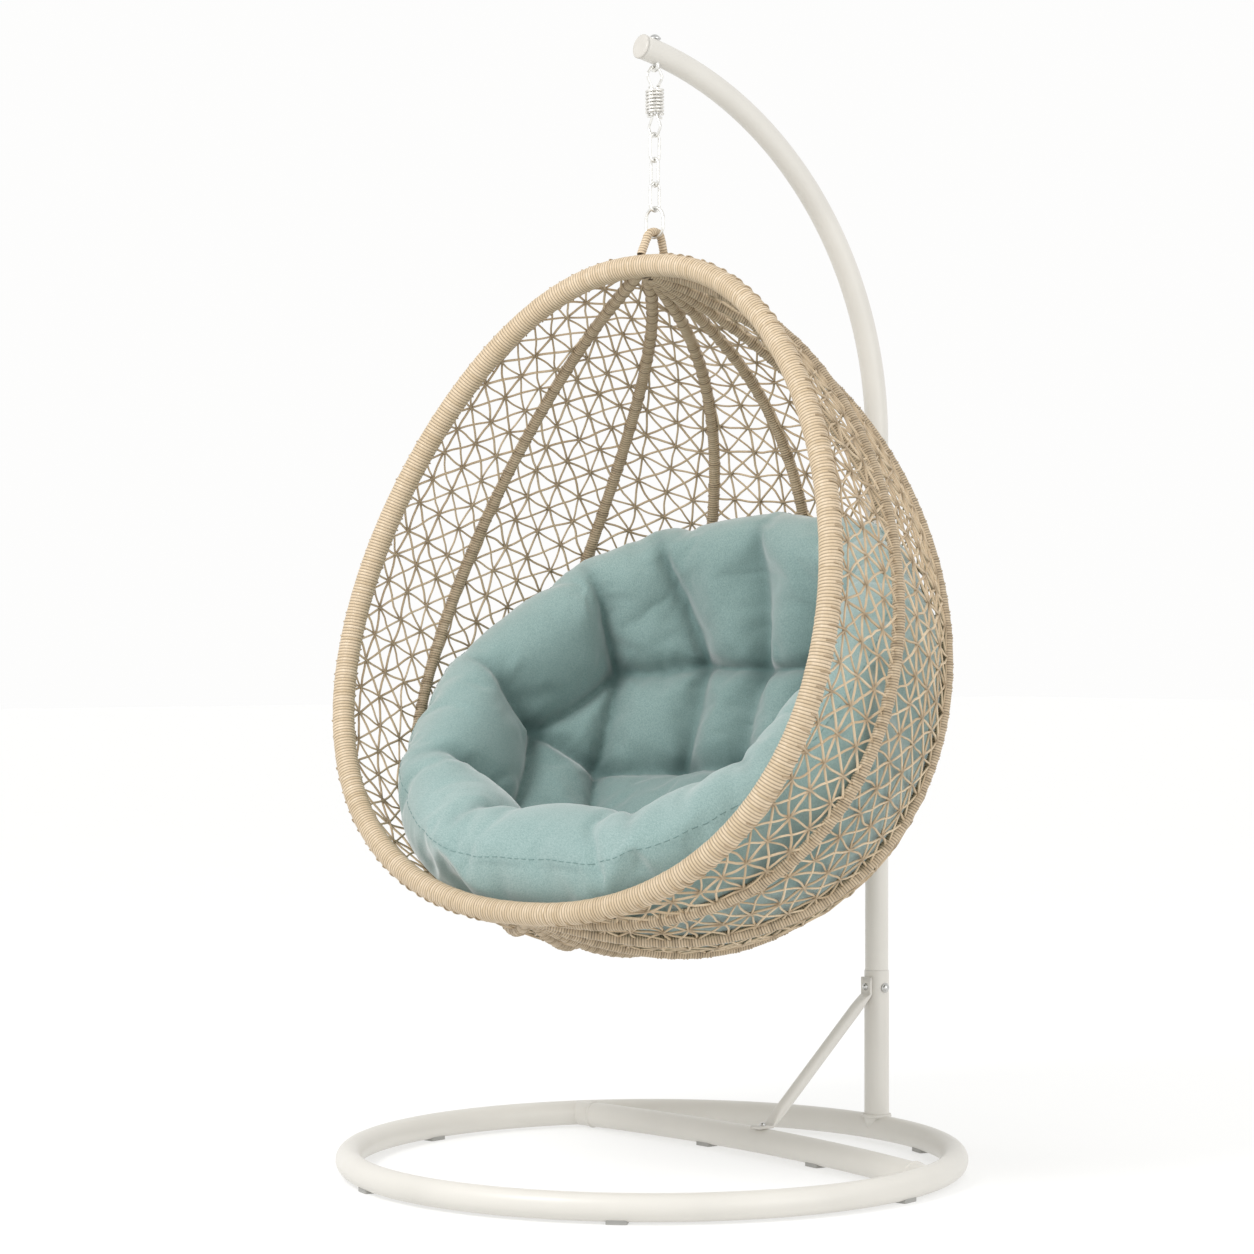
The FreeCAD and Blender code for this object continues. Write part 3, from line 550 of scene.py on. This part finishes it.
def buildRods():
    phi = np.linspace(0, math.pi, 500)
    right = shellPoint(math.pi / 2, phi)
    left = right[::-1] * np.array((-1, 1, 1))
    rim = np.concatenate([right, left[1:-1]])
    woundPiece("rimHoop", rim, intoShell * -1, rimCane, ["rim_hoop"], radius=cane["rimRadius"],
               pitch=cane["rimPitch"], samples=5, around=26, seed=3, closed=True)
    centre = rimTop + downMouth * basket["length"] / 2 + intoShell * 0.25
    for number, angle in enumerate(basket["ribAngles"], 1):
        phi = np.linspace(0.012, math.pi - 0.012, 500)
        path = shellPoint(math.radians(angle), phi)
        extra = ["crown_plate", "keel_plate"] if angle == 0 else []
        woundPiece("rib%d" % number, path, path - centre, ribCane, ["rib_%d" % number] + extra,
                   radius=cane["ribRadius"], pitch=cane["ribPitch"], samples=4, around=14, seed=10 + number,
                   ridge=0.0009, tieEvery=5)
    # the arch over the crown that the basket hangs by
    y = basket["hangY"]
    corners = [(0, y - 0.038, 1.5695), (0, y - 0.016, 1.612), (0, y, 1.6163), (0, y + 0.016, 1.612),
               (0, y + 0.038, 1.5245)]
    stops = np.array(corners, dtype=float)
    share = np.linspace(0, len(stops) - 1, 120)
    path = np.stack([np.interp(share, range(len(stops)), stops[:, axis]) for axis in range(3)], 1)
    for turn in range(60):  # rounds the corners off
        path[1:-1] = (path[:-2] + 2 * path[1:-1] + path[2:]) / 4
    woundPiece("hangerLoop", path, (1, 0, 0), rimCane, ["hanger_loop"], radius=cane["loopRadius"],
               pitch=cane["loopPitch"], samples=5, around=18, seed=31)


def buildRimTies():  # the ends of the weave's strands, looped round the hoop
    parts = []
    tones = []
    draw = random.Random(77)
    for way in (1, -1):
        phi = np.linspace(0.12, math.pi - 0.1, 600)
        rail = shellPoint(math.pi / 2, phi) * np.array((way, 1, 1))
        reach = np.concatenate([[0], np.cumsum(np.linalg.norm(np.diff(rail, axis=0), axis=1))])
        tangent = railFrames(rail, intoShell)[0]
        at = 0.0
        while at < reach[-1]:
            index = int(np.searchsorted(reach, at))
            inner = unit(np.cross(tangent[index], intoShell)) * way
            turn = np.radians(np.linspace(-40, 118 + draw.uniform(-12, 12), 14))
            radius = cane["rimRadius"] + 0.0009
            circle = np.cos(turn)[:, None] * intoShell + np.sin(turn)[:, None] * inner
            slide = np.linspace(-0.003, 0.003, 14) * draw.choice((-1, 1))
            path = rail[index] + circle * radius + tangent[index] * slide[:, None]
            points, quads = tube(path, cane["tieStrand"], 5, tangent[index])
            parts.append((points, quads))
            tones.append(np.full(len(points), draw.random()))
            at += draw.uniform(*cane["tieGap"])
    points, quads = joined(parts)
    piece("rimTies", hung(points), quads, weaveCane, "basket",
          {"tone": np.concatenate(tones), "shade_and_tie_tone": np.full(len(points), 0.35)}, "rattan")


buildRods()
buildRimTies()
print("wound rods built")


# ---- the open weave between the rods ----
weave = {"row": 0.05, "column": 0.053, "strand": 0.0021, "step": 0.009, "jitter": 0.0042, "lift": 0.0013,
         "knot": 0.0046, "edge": 0.02, "narrowest": 0.03}


class Bay:  # flat metric coordinates over one bay: u across, v down
    def __init__(self, left, right):
        self.left = left
        self.right = right
        self.phi = np.linspace(0.03, math.pi - 0.03, 400)
        middle = shellPoint((left + right) / 2, self.phi)
        self.v = np.concatenate([[0], np.cumsum(np.linalg.norm(np.diff(middle, axis=0), axis=1))])
        gap = shellPoint(right, self.phi) - shellPoint(left, self.phi)
        self.width = np.linalg.norm(gap, axis=1)
        self.length = self.v[-1]

    def widthAt(self, v):
        return np.interp(v, self.v, self.width)

    def point(self, u, v, lift):
        phi = np.interp(v, self.v, self.phi)
        share = 0.5 + u / np.maximum(self.widthAt(v), 1e-4)
        psi = np.clip(self.left + (self.right - self.left) * share, -math.pi / 2, math.pi / 2)
        return shellPoint(psi, phi) + shellNormal(psi, phi) * lift[:, None], shellNormal(psi, phi)


def sway(bay, u, v):  # how far the strands wander from the even pattern, more so low down
    drift = weave["jitter"] * (0.8 + 1.9 * np.clip(v / bay.length, 0, 1) ** 1.5)
    return (drift * (bumpy(v * 38 + u * 9, 1) + 0.7 * bumpy(u * 55 - v * 12, 2)),
            drift * (bumpy(u * 46 + v * 11, 3) + 0.7 * bumpy(v * 52 + u * 17, 4)))


def strandRuns(bay, u, v, family, seed):
    # bends a straight strand a little, then cuts it where it leaves the bay
    swayU, swayV = sway(bay, u, v)
    own = 0.0009 * bumpy((u + v) * 70, seed)
    row = v / weave["row"]
    column = u / weave["column"]
    parity = np.cos(math.pi * (np.round(row) + np.round(column)))
    near = np.cos(math.pi * (row if family != 0 else column)) ** 2
    lift = weave["lift"] * (1.5, -1.5, 0.55, -0.55)[family] * parity * near
    inside = (np.abs(u + swayU) < bay.widthAt(v) / 2 - 0.002) & (bay.widthAt(v) > weave["narrowest"])
    inside &= (v > weave["edge"]) & (v < bay.length - weave["edge"])
    edges = np.flatnonzero(np.diff(np.concatenate([[0], inside.astype(int), [0]])))
    for start, end in zip(edges[::2], edges[1::2]):
        if end - start > 3:
            cut = slice(start, end)
            yield (u + swayU + own)[cut], (v + swayV - own)[cut], lift[cut]


def buildBay(number, left, right):
    bay = Bay(left, right)
    widest = bay.width.max() / 2
    lines = []
    for index in range(int(bay.length / weave["row"]) + 1):
        u = np.arange(-widest, widest, weave["step"])
        lines.append((u, np.full_like(u, index * weave["row"]), 0))
    v = np.arange(0, bay.length, weave["step"])
    reach = int(widest / weave["column"]) + 1
    for index in range(-reach, reach + 1):
        lines.append((np.full_like(v, index * weave["column"]), v, 1))
    slope = weave["row"] / weave["column"]
    u = np.arange(-widest, widest, weave["step"] * 0.72)
    for index in range(-reach, int(bay.length / weave["row"]) + reach + 1):
        lines.append((u, index * weave["row"] + u * slope, 2))
        lines.append((u, index * weave["row"] - u * slope, 3))
    parts = []
    tones = []
    knotShade = []
    draw = random.Random(100 + number)
    for order, (u, v, family) in enumerate(lines):
        for runU, runV, lift in strandRuns(bay, u, v, family, 20 + order % 37):
            path, normal = bay.point(runU, runV, lift)
            row = runV / weave["row"] - np.round(runV / weave["row"])
            column = runU / weave["column"] - np.round(runU / weave["column"])
            nearKnot = np.exp(-(row ** 2 + column ** 2) / 0.03)
            nearKnot = np.concatenate([nearKnot[:1], nearKnot, nearKnot[-1:]])
            size = weave["strand"] * draw.uniform(0.85, 1.12)
            points, quads = tube(path, size, 5, normal)
            parts.append((points, quads))
            tones.append(np.full(len(points), draw.random()))
            # painted shade: darker where the strands cross at a knot
            knotShade.append(np.repeat(0.6 * nearKnot, 5))
    for row in range(1, int(bay.length / weave["row"])):
        for index in range(-reach, reach + 1):
            u = np.array([index * weave["column"]])
            v = np.array([row * weave["row"]])
            if abs(u[0]) > bay.widthAt(v)[0] / 2 - 0.006 or bay.widthAt(v)[0] < weave["narrowest"]:
                continue
            swayU, swayV = sway(bay, u, v)
            place, normal = bay.point(u + swayU, v + swayV, np.zeros(1))
            size = weave["knot"] * draw.uniform(0.6, 1.15)
            profile = [(size * along, size * across)
                       for along, across in ((-0.55, 0), (-0.4, 0.7), (0, 1), (0.4, 0.7), (0.55, 0))]
            points, quads = lathe(profile, place[0], normal[0], 7)
            parts.append((points, quads))
            tones.append(np.full(len(points), draw.random()))
            # painted shade on the knot lumps
            knotShade.append(np.full(len(points), 0.55))
    points, quads = joined(parts)
    values = {"tone": np.concatenate(tones), "shade_and_tie_tone": np.concatenate(knotShade)}
    made = piece("weave%d" % number, hung(points), quads, weaveCane, "basket", values, "rattan")
    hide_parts("weave_panel_%d" % number)


edges = [-math.pi / 2] + [math.radians(angle) for angle in basket["ribAngles"]] + [math.pi / 2]
for number, (left, right) in enumerate(zip(edges, edges[1:]), 1):
    buildBay(number, left, right)
print("weave built")


# ---- the cushion ----
cushion = {"eyeBack": -0.020, "eyeHeight": 0.905, "lean": 33.37, "front": 69.0, "back": 84.0, "side": 5.0,
           "thick": 0.118, "lip": 0.150, "nose": 0.054, "under": 0.0201, "voxel": 0.0105, "pressure": 7.0,
           "mostMove": 0.030, "tuftDepth": 0.074, "puff": 0.024, "valley": 0.027, "gather": 0.0026,
           "clear": 0.008, "seamTurn": 0.36, "stitch": 0.0008}
cushionEye = np.array((0, basket["hangY"] + cushion["eyeBack"], cushion["eyeHeight"]))
lean = math.radians(cushion["lean"])
cushionAxis = np.array((0, math.sin(lean), -math.cos(lean)))


def insideShell(places):
    away = places - rimTop
    depth = away @ intoShell
    run = away @ downMouth - basket["sag"] * depth
    cosine = 1 - run / (basket["length"] / 2)
    phi = np.arccos(np.clip(cosine, -1, 1))
    wide = girth(*mouthGirth, phi)
    deep = girth(*depthGirth, phi)
    section = (np.abs(away[:, 0]) / wide) ** 3 + (np.maximum(depth, 0) / deep) ** 3
    return (depth > 0) & (np.abs(cosine) < 1) & (section < 1)


def shellReach(ways):
    low = np.zeros(len(ways))
    high = np.full(len(ways), 1.1)
    for attempt in range(30):
        middle = (low + high) / 2
        within = insideShell(cushionEye + ways * middle[:, None])
        low = np.where(within, middle, low)
        high = np.where(within, high, middle)
    return low


def cushionWay(leans, headings):
    forward = np.array((0, -math.cos(lean), -math.sin(lean)))
    flat = np.cos(headings)[:, None] * forward + np.sin(headings)[:, None] * np.array((1.0, 0, 0))
    return np.cos(leans)[:, None] * cushionAxis + np.sin(leans)[:, None] * flat


def edgeLean(headings):
    share = (1 + np.cos(headings)) / 2
    reach = cushion["back"] + (cushion["front"] - cushion["back"]) * share
    return np.radians(reach + cushion["side"] * np.sin(headings) ** 2)


def cushionPoint(share, headings, height):  # height 0 is the underside, 1 the face one sits on
    ways = cushionWay(edgeLean(headings) * share, headings)
    front = (1 + np.cos(headings)) / 2
    thick = cushion["thick"] + (cushion["lip"] - cushion["thick"]) * front * share ** 2
    return cushionEye + ways * (shellReach(ways) - cushion["under"] - thick * height)[:, None]


def nosePoint(headings, turn):  # round the free edge, turn 0 below to 1 above
    low = cushionPoint(1.0, headings, 0.0)
    high = cushionPoint(1.0, headings, 1.0)
    beyond = cushionWay(edgeLean(headings) + math.pi / 2, headings)
    middle = (low + high) / 2
    angle = (math.pi * np.broadcast_to(turn, len(headings)))[:, None]
    return middle + (low - middle) * np.cos(angle) + beyond * cushion["nose"] * np.sin(angle)


def cushionSurface():
    around = 96
    headings = np.linspace(0, 2 * math.pi, around, endpoint=False)
    rings = [cushionPoint(share, headings, 0.0) for share in np.linspace(0.05, 1, 20)]
    rings += [nosePoint(headings, turn) for turn in (0.14, 0.3, 0.5, 0.7, 0.86)]
    rings += [cushionPoint(share, headings, 1.0) for share in np.linspace(1, 0.05, 20)]
    points = np.concatenate(rings)
    quads = ringQuads(len(rings), around).tolist()
    quads.append(list(range(around))[::-1])
    quads.append([len(points) - around + index for index in range(around)])
    return points, quads


# tufts on one half, as (share of the way out, heading); 180 is the back
tufting = {"outer": [(0.58, 180), (0.64, 208), (0.74, 238), (0.77, 270), (0.73, 303), (0.74, 338)],
           "inner": [(0.18, 180), (0.30, 236), (0.54, 264), (0.47, 298), (0.42, 340)],
           "links": [(0, 0), (1, 1), (2, 2), (3, 2), (4, 3), (5, 4)], "midDepth": 0.042, "edgeDepth": 0.034}


def ringOf(half):  # the other half is its mirror image, except a tuft on the middle line
    other = [(share, 360 - heading) for share, heading in half if heading % 180]
    return half + other[::-1]


def tuftPoints():
    spots = np.array(ringOf(tufting["outer"]) + ringOf(tufting["inner"]), dtype=float)
    return cushionPoint(spots[:, 0], np.radians(spots[:, 1]), 1.0)


def flatSpot(share, heading):
    return np.array((share * math.cos(math.radians(heading)), share * math.sin(math.radians(heading))))


def creases():  # every crease as sample points with a depth and a distance along it
    points = []
    depths = []
    lengths = []

    def draw(first, second, middle):
        share = np.linspace(0, 1, 26)
        line = first[None] + (second - first)[None] * share[:, None]
        curve = cushionPoint(np.hypot(line[:, 0], line[:, 1]), np.arctan2(line[:, 1], line[:, 0]), 1.0)
        points.append(curve)
        depths.append(middle + (cushion["tuftDepth"] - middle) * np.abs(2 * share - 1) ** 2.2)
        lengths.append(np.concatenate([[0], np.cumsum(np.linalg.norm(np.diff(curve, axis=0), axis=1))]))

    for ring in (tufting["outer"], tufting["inner"]):
        spots = ringOf(ring)
        for first, second in zip(spots, spots[1:] + spots[:1]):
            draw(flatSpot(*first), flatSpot(*second), tufting["midDepth"])
    for outer, inner in tufting["links"]:
        for way in (1, -1):
            share, heading = tufting["outer"][outer]
            innerShare, innerHeading = tufting["inner"][inner]
            draw(flatSpot(share, heading * way), flatSpot(innerShare, innerHeading * way), tufting["midDepth"])
    for number, (share, heading) in enumerate(ringOf(tufting["outer"])):  # out over the free edge
        steps = np.linspace(share, 1, 24)
        angles = np.radians(heading + 5 * math.sin(number * 2.3) * (steps - share) / (1 - share))
        curve = np.concatenate([cushionPoint(steps, angles, 1.0),
                                nosePoint(np.full(9, angles[-1]), np.linspace(0.95, 0.35, 9))])
        points.append(curve)
        depths.append(np.concatenate([np.linspace(cushion["tuftDepth"], tufting["edgeDepth"], 24),
                                      np.linspace(tufting["edgeDepth"], 0.002, 9)]))
        lengths.append(np.concatenate([[0], np.cumsum(np.linalg.norm(np.diff(curve, axis=0), axis=1))]))
    return np.concatenate(points), np.concatenate(depths), np.concatenate(lengths)


def puffUp(made, pinned):  # closed cloth under pressure, held at the tufts
    group = made.vertex_groups.new(name="held")
    group.add([int(index) for index in pinned], 1.0, "REPLACE")
    modifier = made.modifiers.new("puff", "CLOTH")
    settings = modifier.settings
    settings.quality = 4
    settings.mass = 0.4
    settings.tension_stiffness = 14
    settings.compression_stiffness = 10
    settings.shear_stiffness = 6
    settings.bending_stiffness = 0.4
    settings.use_pressure = True
    settings.uniform_pressure_force = cushion["pressure"]
    settings.shrink_min = -0.05
    settings.vertex_group_mass = "held"
    settings.effector_weights.gravity = 0
    modifier.collision_settings.use_self_collision = False
    modifier.point_cache.frame_start = 1
    modifier.point_cache.frame_end = 20
    for step in range(1, 21):
        scene.frame_set(step)
    graph = bpy.context.evaluated_depsgraph_get()
    puffed = made.evaluated_get(graph).to_mesh()
    places = np.empty(len(puffed.vertices) * 3)
    puffed.vertices.foreach_get("co", places)
    made.evaluated_get(graph).to_mesh_clear()
    made.modifiers.remove(modifier)
    made.vertex_groups.clear()
    scene.frame_set(1)
    return places.reshape(-1, 3)


def closest(tree, places):
    return np.array([tree.find_nearest(Vector(place))[0] for place in places])


def vertexRows(owner, key, count):
    values = np.empty(count * 3)
    owner.foreach_get(key, values)
    return values.reshape(-1, 3)


def changed(made):  # the mesh as its modifiers leave it
    fresh = bpy.data.meshes.new_from_object(made.evaluated_get(bpy.context.evaluated_depsgraph_get()))
    made.modifiers.clear()
    made.data = fresh
    return fresh


def evenCushion():
    points, faces = cushionSurface()
    mesh = bpy.data.meshes.new("seatCushion")
    mesh.from_pydata(points.tolist(), [], faces)
    made = bpy.data.objects.new("seatCushion", mesh)
    scene.collection.objects.link(made)
    remesh = made.modifiers.new("even", "REMESH")
    remesh.mode = "VOXEL"
    remesh.voxel_size = cushion["voxel"]
    return made, changed(made)


def puffed(made, pressed, pinned):  # the simulated places, none further than mostMove from where it began
    places = puffUp(made, pinned)
    moved = places - pressed
    length = np.linalg.norm(moved, axis=1, keepdims=True)
    print("cloth moved up to", float(length.max()))
    return pressed + moved * np.minimum(1, cushion["mostMove"] / np.maximum(length, 1e-6))


def againstShell(places):  # it lies against the ribs and the weave, not through them
    away = places - cushionEye
    reach = np.linalg.norm(away, axis=1)
    ways = away / reach[:, None]
    limit = shellReach(ways) - cushion["clear"]
    behind = (places - rimTop) @ intoShell > 0.06
    return np.where((behind & (reach > limit))[:, None], cushionEye + ways * limit[:, None], places)


def buildCushion():
    made, even = evenCushion()
    count = len(even.vertices)
    start = vertexRows(even.vertices, "co", count)
    print("cushion points", count)

    tufts = tuftPoints()
    linePoints, lineDepths, lineLengths = creases()
    finder = KDTree(len(linePoints))
    for index, place in enumerate(linePoints):
        finder.insert(place, index)
    finder.balance()
    found = [finder.find(place)[1:] for place in start]
    nearIndex = np.array([index for index, gap in found])
    nearGap = np.array([gap for index, gap in found])
    nearest = np.linalg.norm(start[:, None] - tufts[None], axis=2).min(1)
    inward = unit(start - cushionEye)  # away from the sitter, into the filling
    normals = vertexRows(even.vertices, "normal", count)
    upper = np.clip(-(normals * inward).sum(1) * 2.2 + 0.35, 0, 1)
    wide = 0.7 * np.exp(-nearGap / cushion["valley"])
    narrow = 0.3 * np.exp(-(nearGap / 0.012) ** 2)
    valley = (wide + narrow) * lineDepths[nearIndex]
    gather = bumpy(lineLengths[nearIndex] * 260 + nearIndex // 26, 8) * np.exp(-nearGap / 0.04)
    drop = (valley - cushion["puff"] + cushion["gather"] * gather) * upper
    places = start + inward * drop[:, None]
    even.vertices.foreach_set("co", places.ravel())
    even.update()
    places = puffed(made, places, np.flatnonzero((nearest < 0.012) | (nearGap < 0.006)))
    places = againstShell(places)
    even.vertices.foreach_set("co", places.ravel())
    even.update()

    # painted shade: strongest in the creases and round the tufts, on the face one sits on
    creaseShade = upper * (0.65 * np.exp(-nearGap / 0.011) + 0.45 * np.exp(-nearest / 0.045))
    seam = nosePoint(np.linspace(0, 2 * math.pi, 900, endpoint=False), cushion["seamTurn"])
    toSeam = np.full(count, 1.0)
    for chunk in np.array_split(np.arange(count), 40):
        toSeam[chunk] = np.linalg.norm(start[chunk][:, None] - seam[None, ::3], axis=2).min(1)
    shades = {"creaseShade": creaseShade + np.exp(-(nearest / 0.02) ** 2), "seam": np.exp(-(toSeam / 0.004) ** 2)}
    for key, numbers in shades.items():
        data = even.attributes.new(key, "FLOAT", "POINT")
        data.data.foreach_set("value", np.ascontiguousarray(np.clip(numbers, 0, 1), dtype=np.float32))
    soften = made.modifiers.new("soften", "SMOOTH")
    soften.factor = 0.5
    soften.iterations = 3
    smooth = made.modifiers.new("fine", "SUBSURF")
    smooth.levels = smooth.render_levels = 1
    fine = changed(made)
    fine.materials.clear()
    fine.materials.append(cloth)
    fine.polygons.foreach_set("use_smooth", [True] * len(fine.polygons))
    fine.vertices.foreach_set("co", hung(vertexRows(fine.vertices, "co", len(fine.vertices))).ravel())
    fine.update()
    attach(made, "basket")
    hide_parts("cushion")
    corners = [vertex.co.copy() for vertex in fine.vertices]
    tree = BVHTree.FromPolygons(corners, [tuple(face.vertices) for face in fine.polygons])

    # short stitches along the seam
    line = closest(tree, hung(seam))
    for turn in range(12):
        line = (np.roll(line, 1, 0) + line + np.roll(line, -1, 0)) / 3
    line = closest(tree, line)
    parts = []
    for index in range(0, len(line) - 3, 5):
        parts.append(tube(line[index:index + 4], cushion["stitch"], 6, hung(cushionEye) - line[index]))
    piece("cushionStitches", *joined(parts), thread, "basket", slot="cushion_cloth")


buildCushion()
print("cushion built")


# ---- finishes of the parts kept from the frame ----
def dress(names, material):
    for name in names:
        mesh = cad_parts[name].data
        mesh.materials.clear()
        mesh.materials.append(material)
        mesh.polygons.foreach_set("use_smooth", [True] * len(mesh.polygons))


dress(["hook_bolt", "upper_drawbar", "lower_drawbar", "hanging_ring"], zinc)
dress(["chain_link_1", "chain_link_2", "chain_link_3"], zinc)
dress(["spring_coil"], springSteel)
dress(["hook_nut"], boltSteel)
dress(["glide_feet"], greyPlastic)


# ---- room, light and camera ----
room = {"floor": (178, 178, 177), "glow": 0.545, "sky": 0.985, "size": 40, "azimuth": 52.0, "away": 5.475,
        "height": 0.895, "lens": 91.24, "shift": (-0.0199, 0.0183)}


def buildRoom():
    finish = Finish("paper", roughness=0.9, specular=0.1)
    grain = finish.noise(3.0)
    finish.set("Base Color", finish.mix(grain, tint(*room["floor"]), tint(*[c - 2 for c in room["floor"]])))
    finish.set("Emission Color", (1.0, 1.0, 0.995))
    finish.set("Emission Strength", room["glow"])
    size = room["size"]
    corners = [(-size, -size, 0), (size, -size, 0), (size, size, 0), (-size, size, 0)]
    floor = piece("floor", corners, [(0, 1, 2, 3)], finish.material, None)
    world = bpy.data.worlds.new("paleRoom")
    scene.world = world
    world.use_nodes = True
    world.node_tree.nodes["Background"].inputs["Color"].default_value = (1.0, 0.998, 0.993, 1)
    world.node_tree.nodes["Background"].inputs["Strength"].default_value = room["sky"]
    turn = math.radians(room["azimuth"])
    toCamera = Vector((math.sin(turn), -math.cos(turn), 0))
    toRight = Vector((math.cos(turn), math.sin(turn), 0))
    for name, place, size, power in (
            ("keyLight", toCamera * 2.2 - toRight * 2.4 + Vector((0, 0, 3.4)), 1.3, 88),
            ("fillLight", toCamera * 3.0 + toRight * 3.0 + Vector((0, 0, 1.7)), 2.4, 34)):
        data = bpy.data.lights.new(name, "AREA")
        data.size = size
        data.energy = power
        lamp = bpy.data.objects.new(name, data)
        scene.collection.objects.link(lamp)
        lamp.location = place
        lamp.rotation_euler = (Vector((0, 0, 0.9)) - place).to_track_quat("-Z", "Y").to_euler()
    data = bpy.data.cameras.new("view")
    data.lens = room["lens"]
    data.sensor_width = 36
    data.shift_x, data.shift_y = room["shift"]
    camera = bpy.data.objects.new("view", data)
    scene.collection.objects.link(camera)
    camera.location = toCamera * room["away"] + Vector((0, 0, room["height"]))
    camera.rotation_euler = (-toCamera).to_track_quat("-Z", "Y").to_euler()
    scene.camera = camera
    scene.view_settings.view_transform = "Standard"


buildRoom()
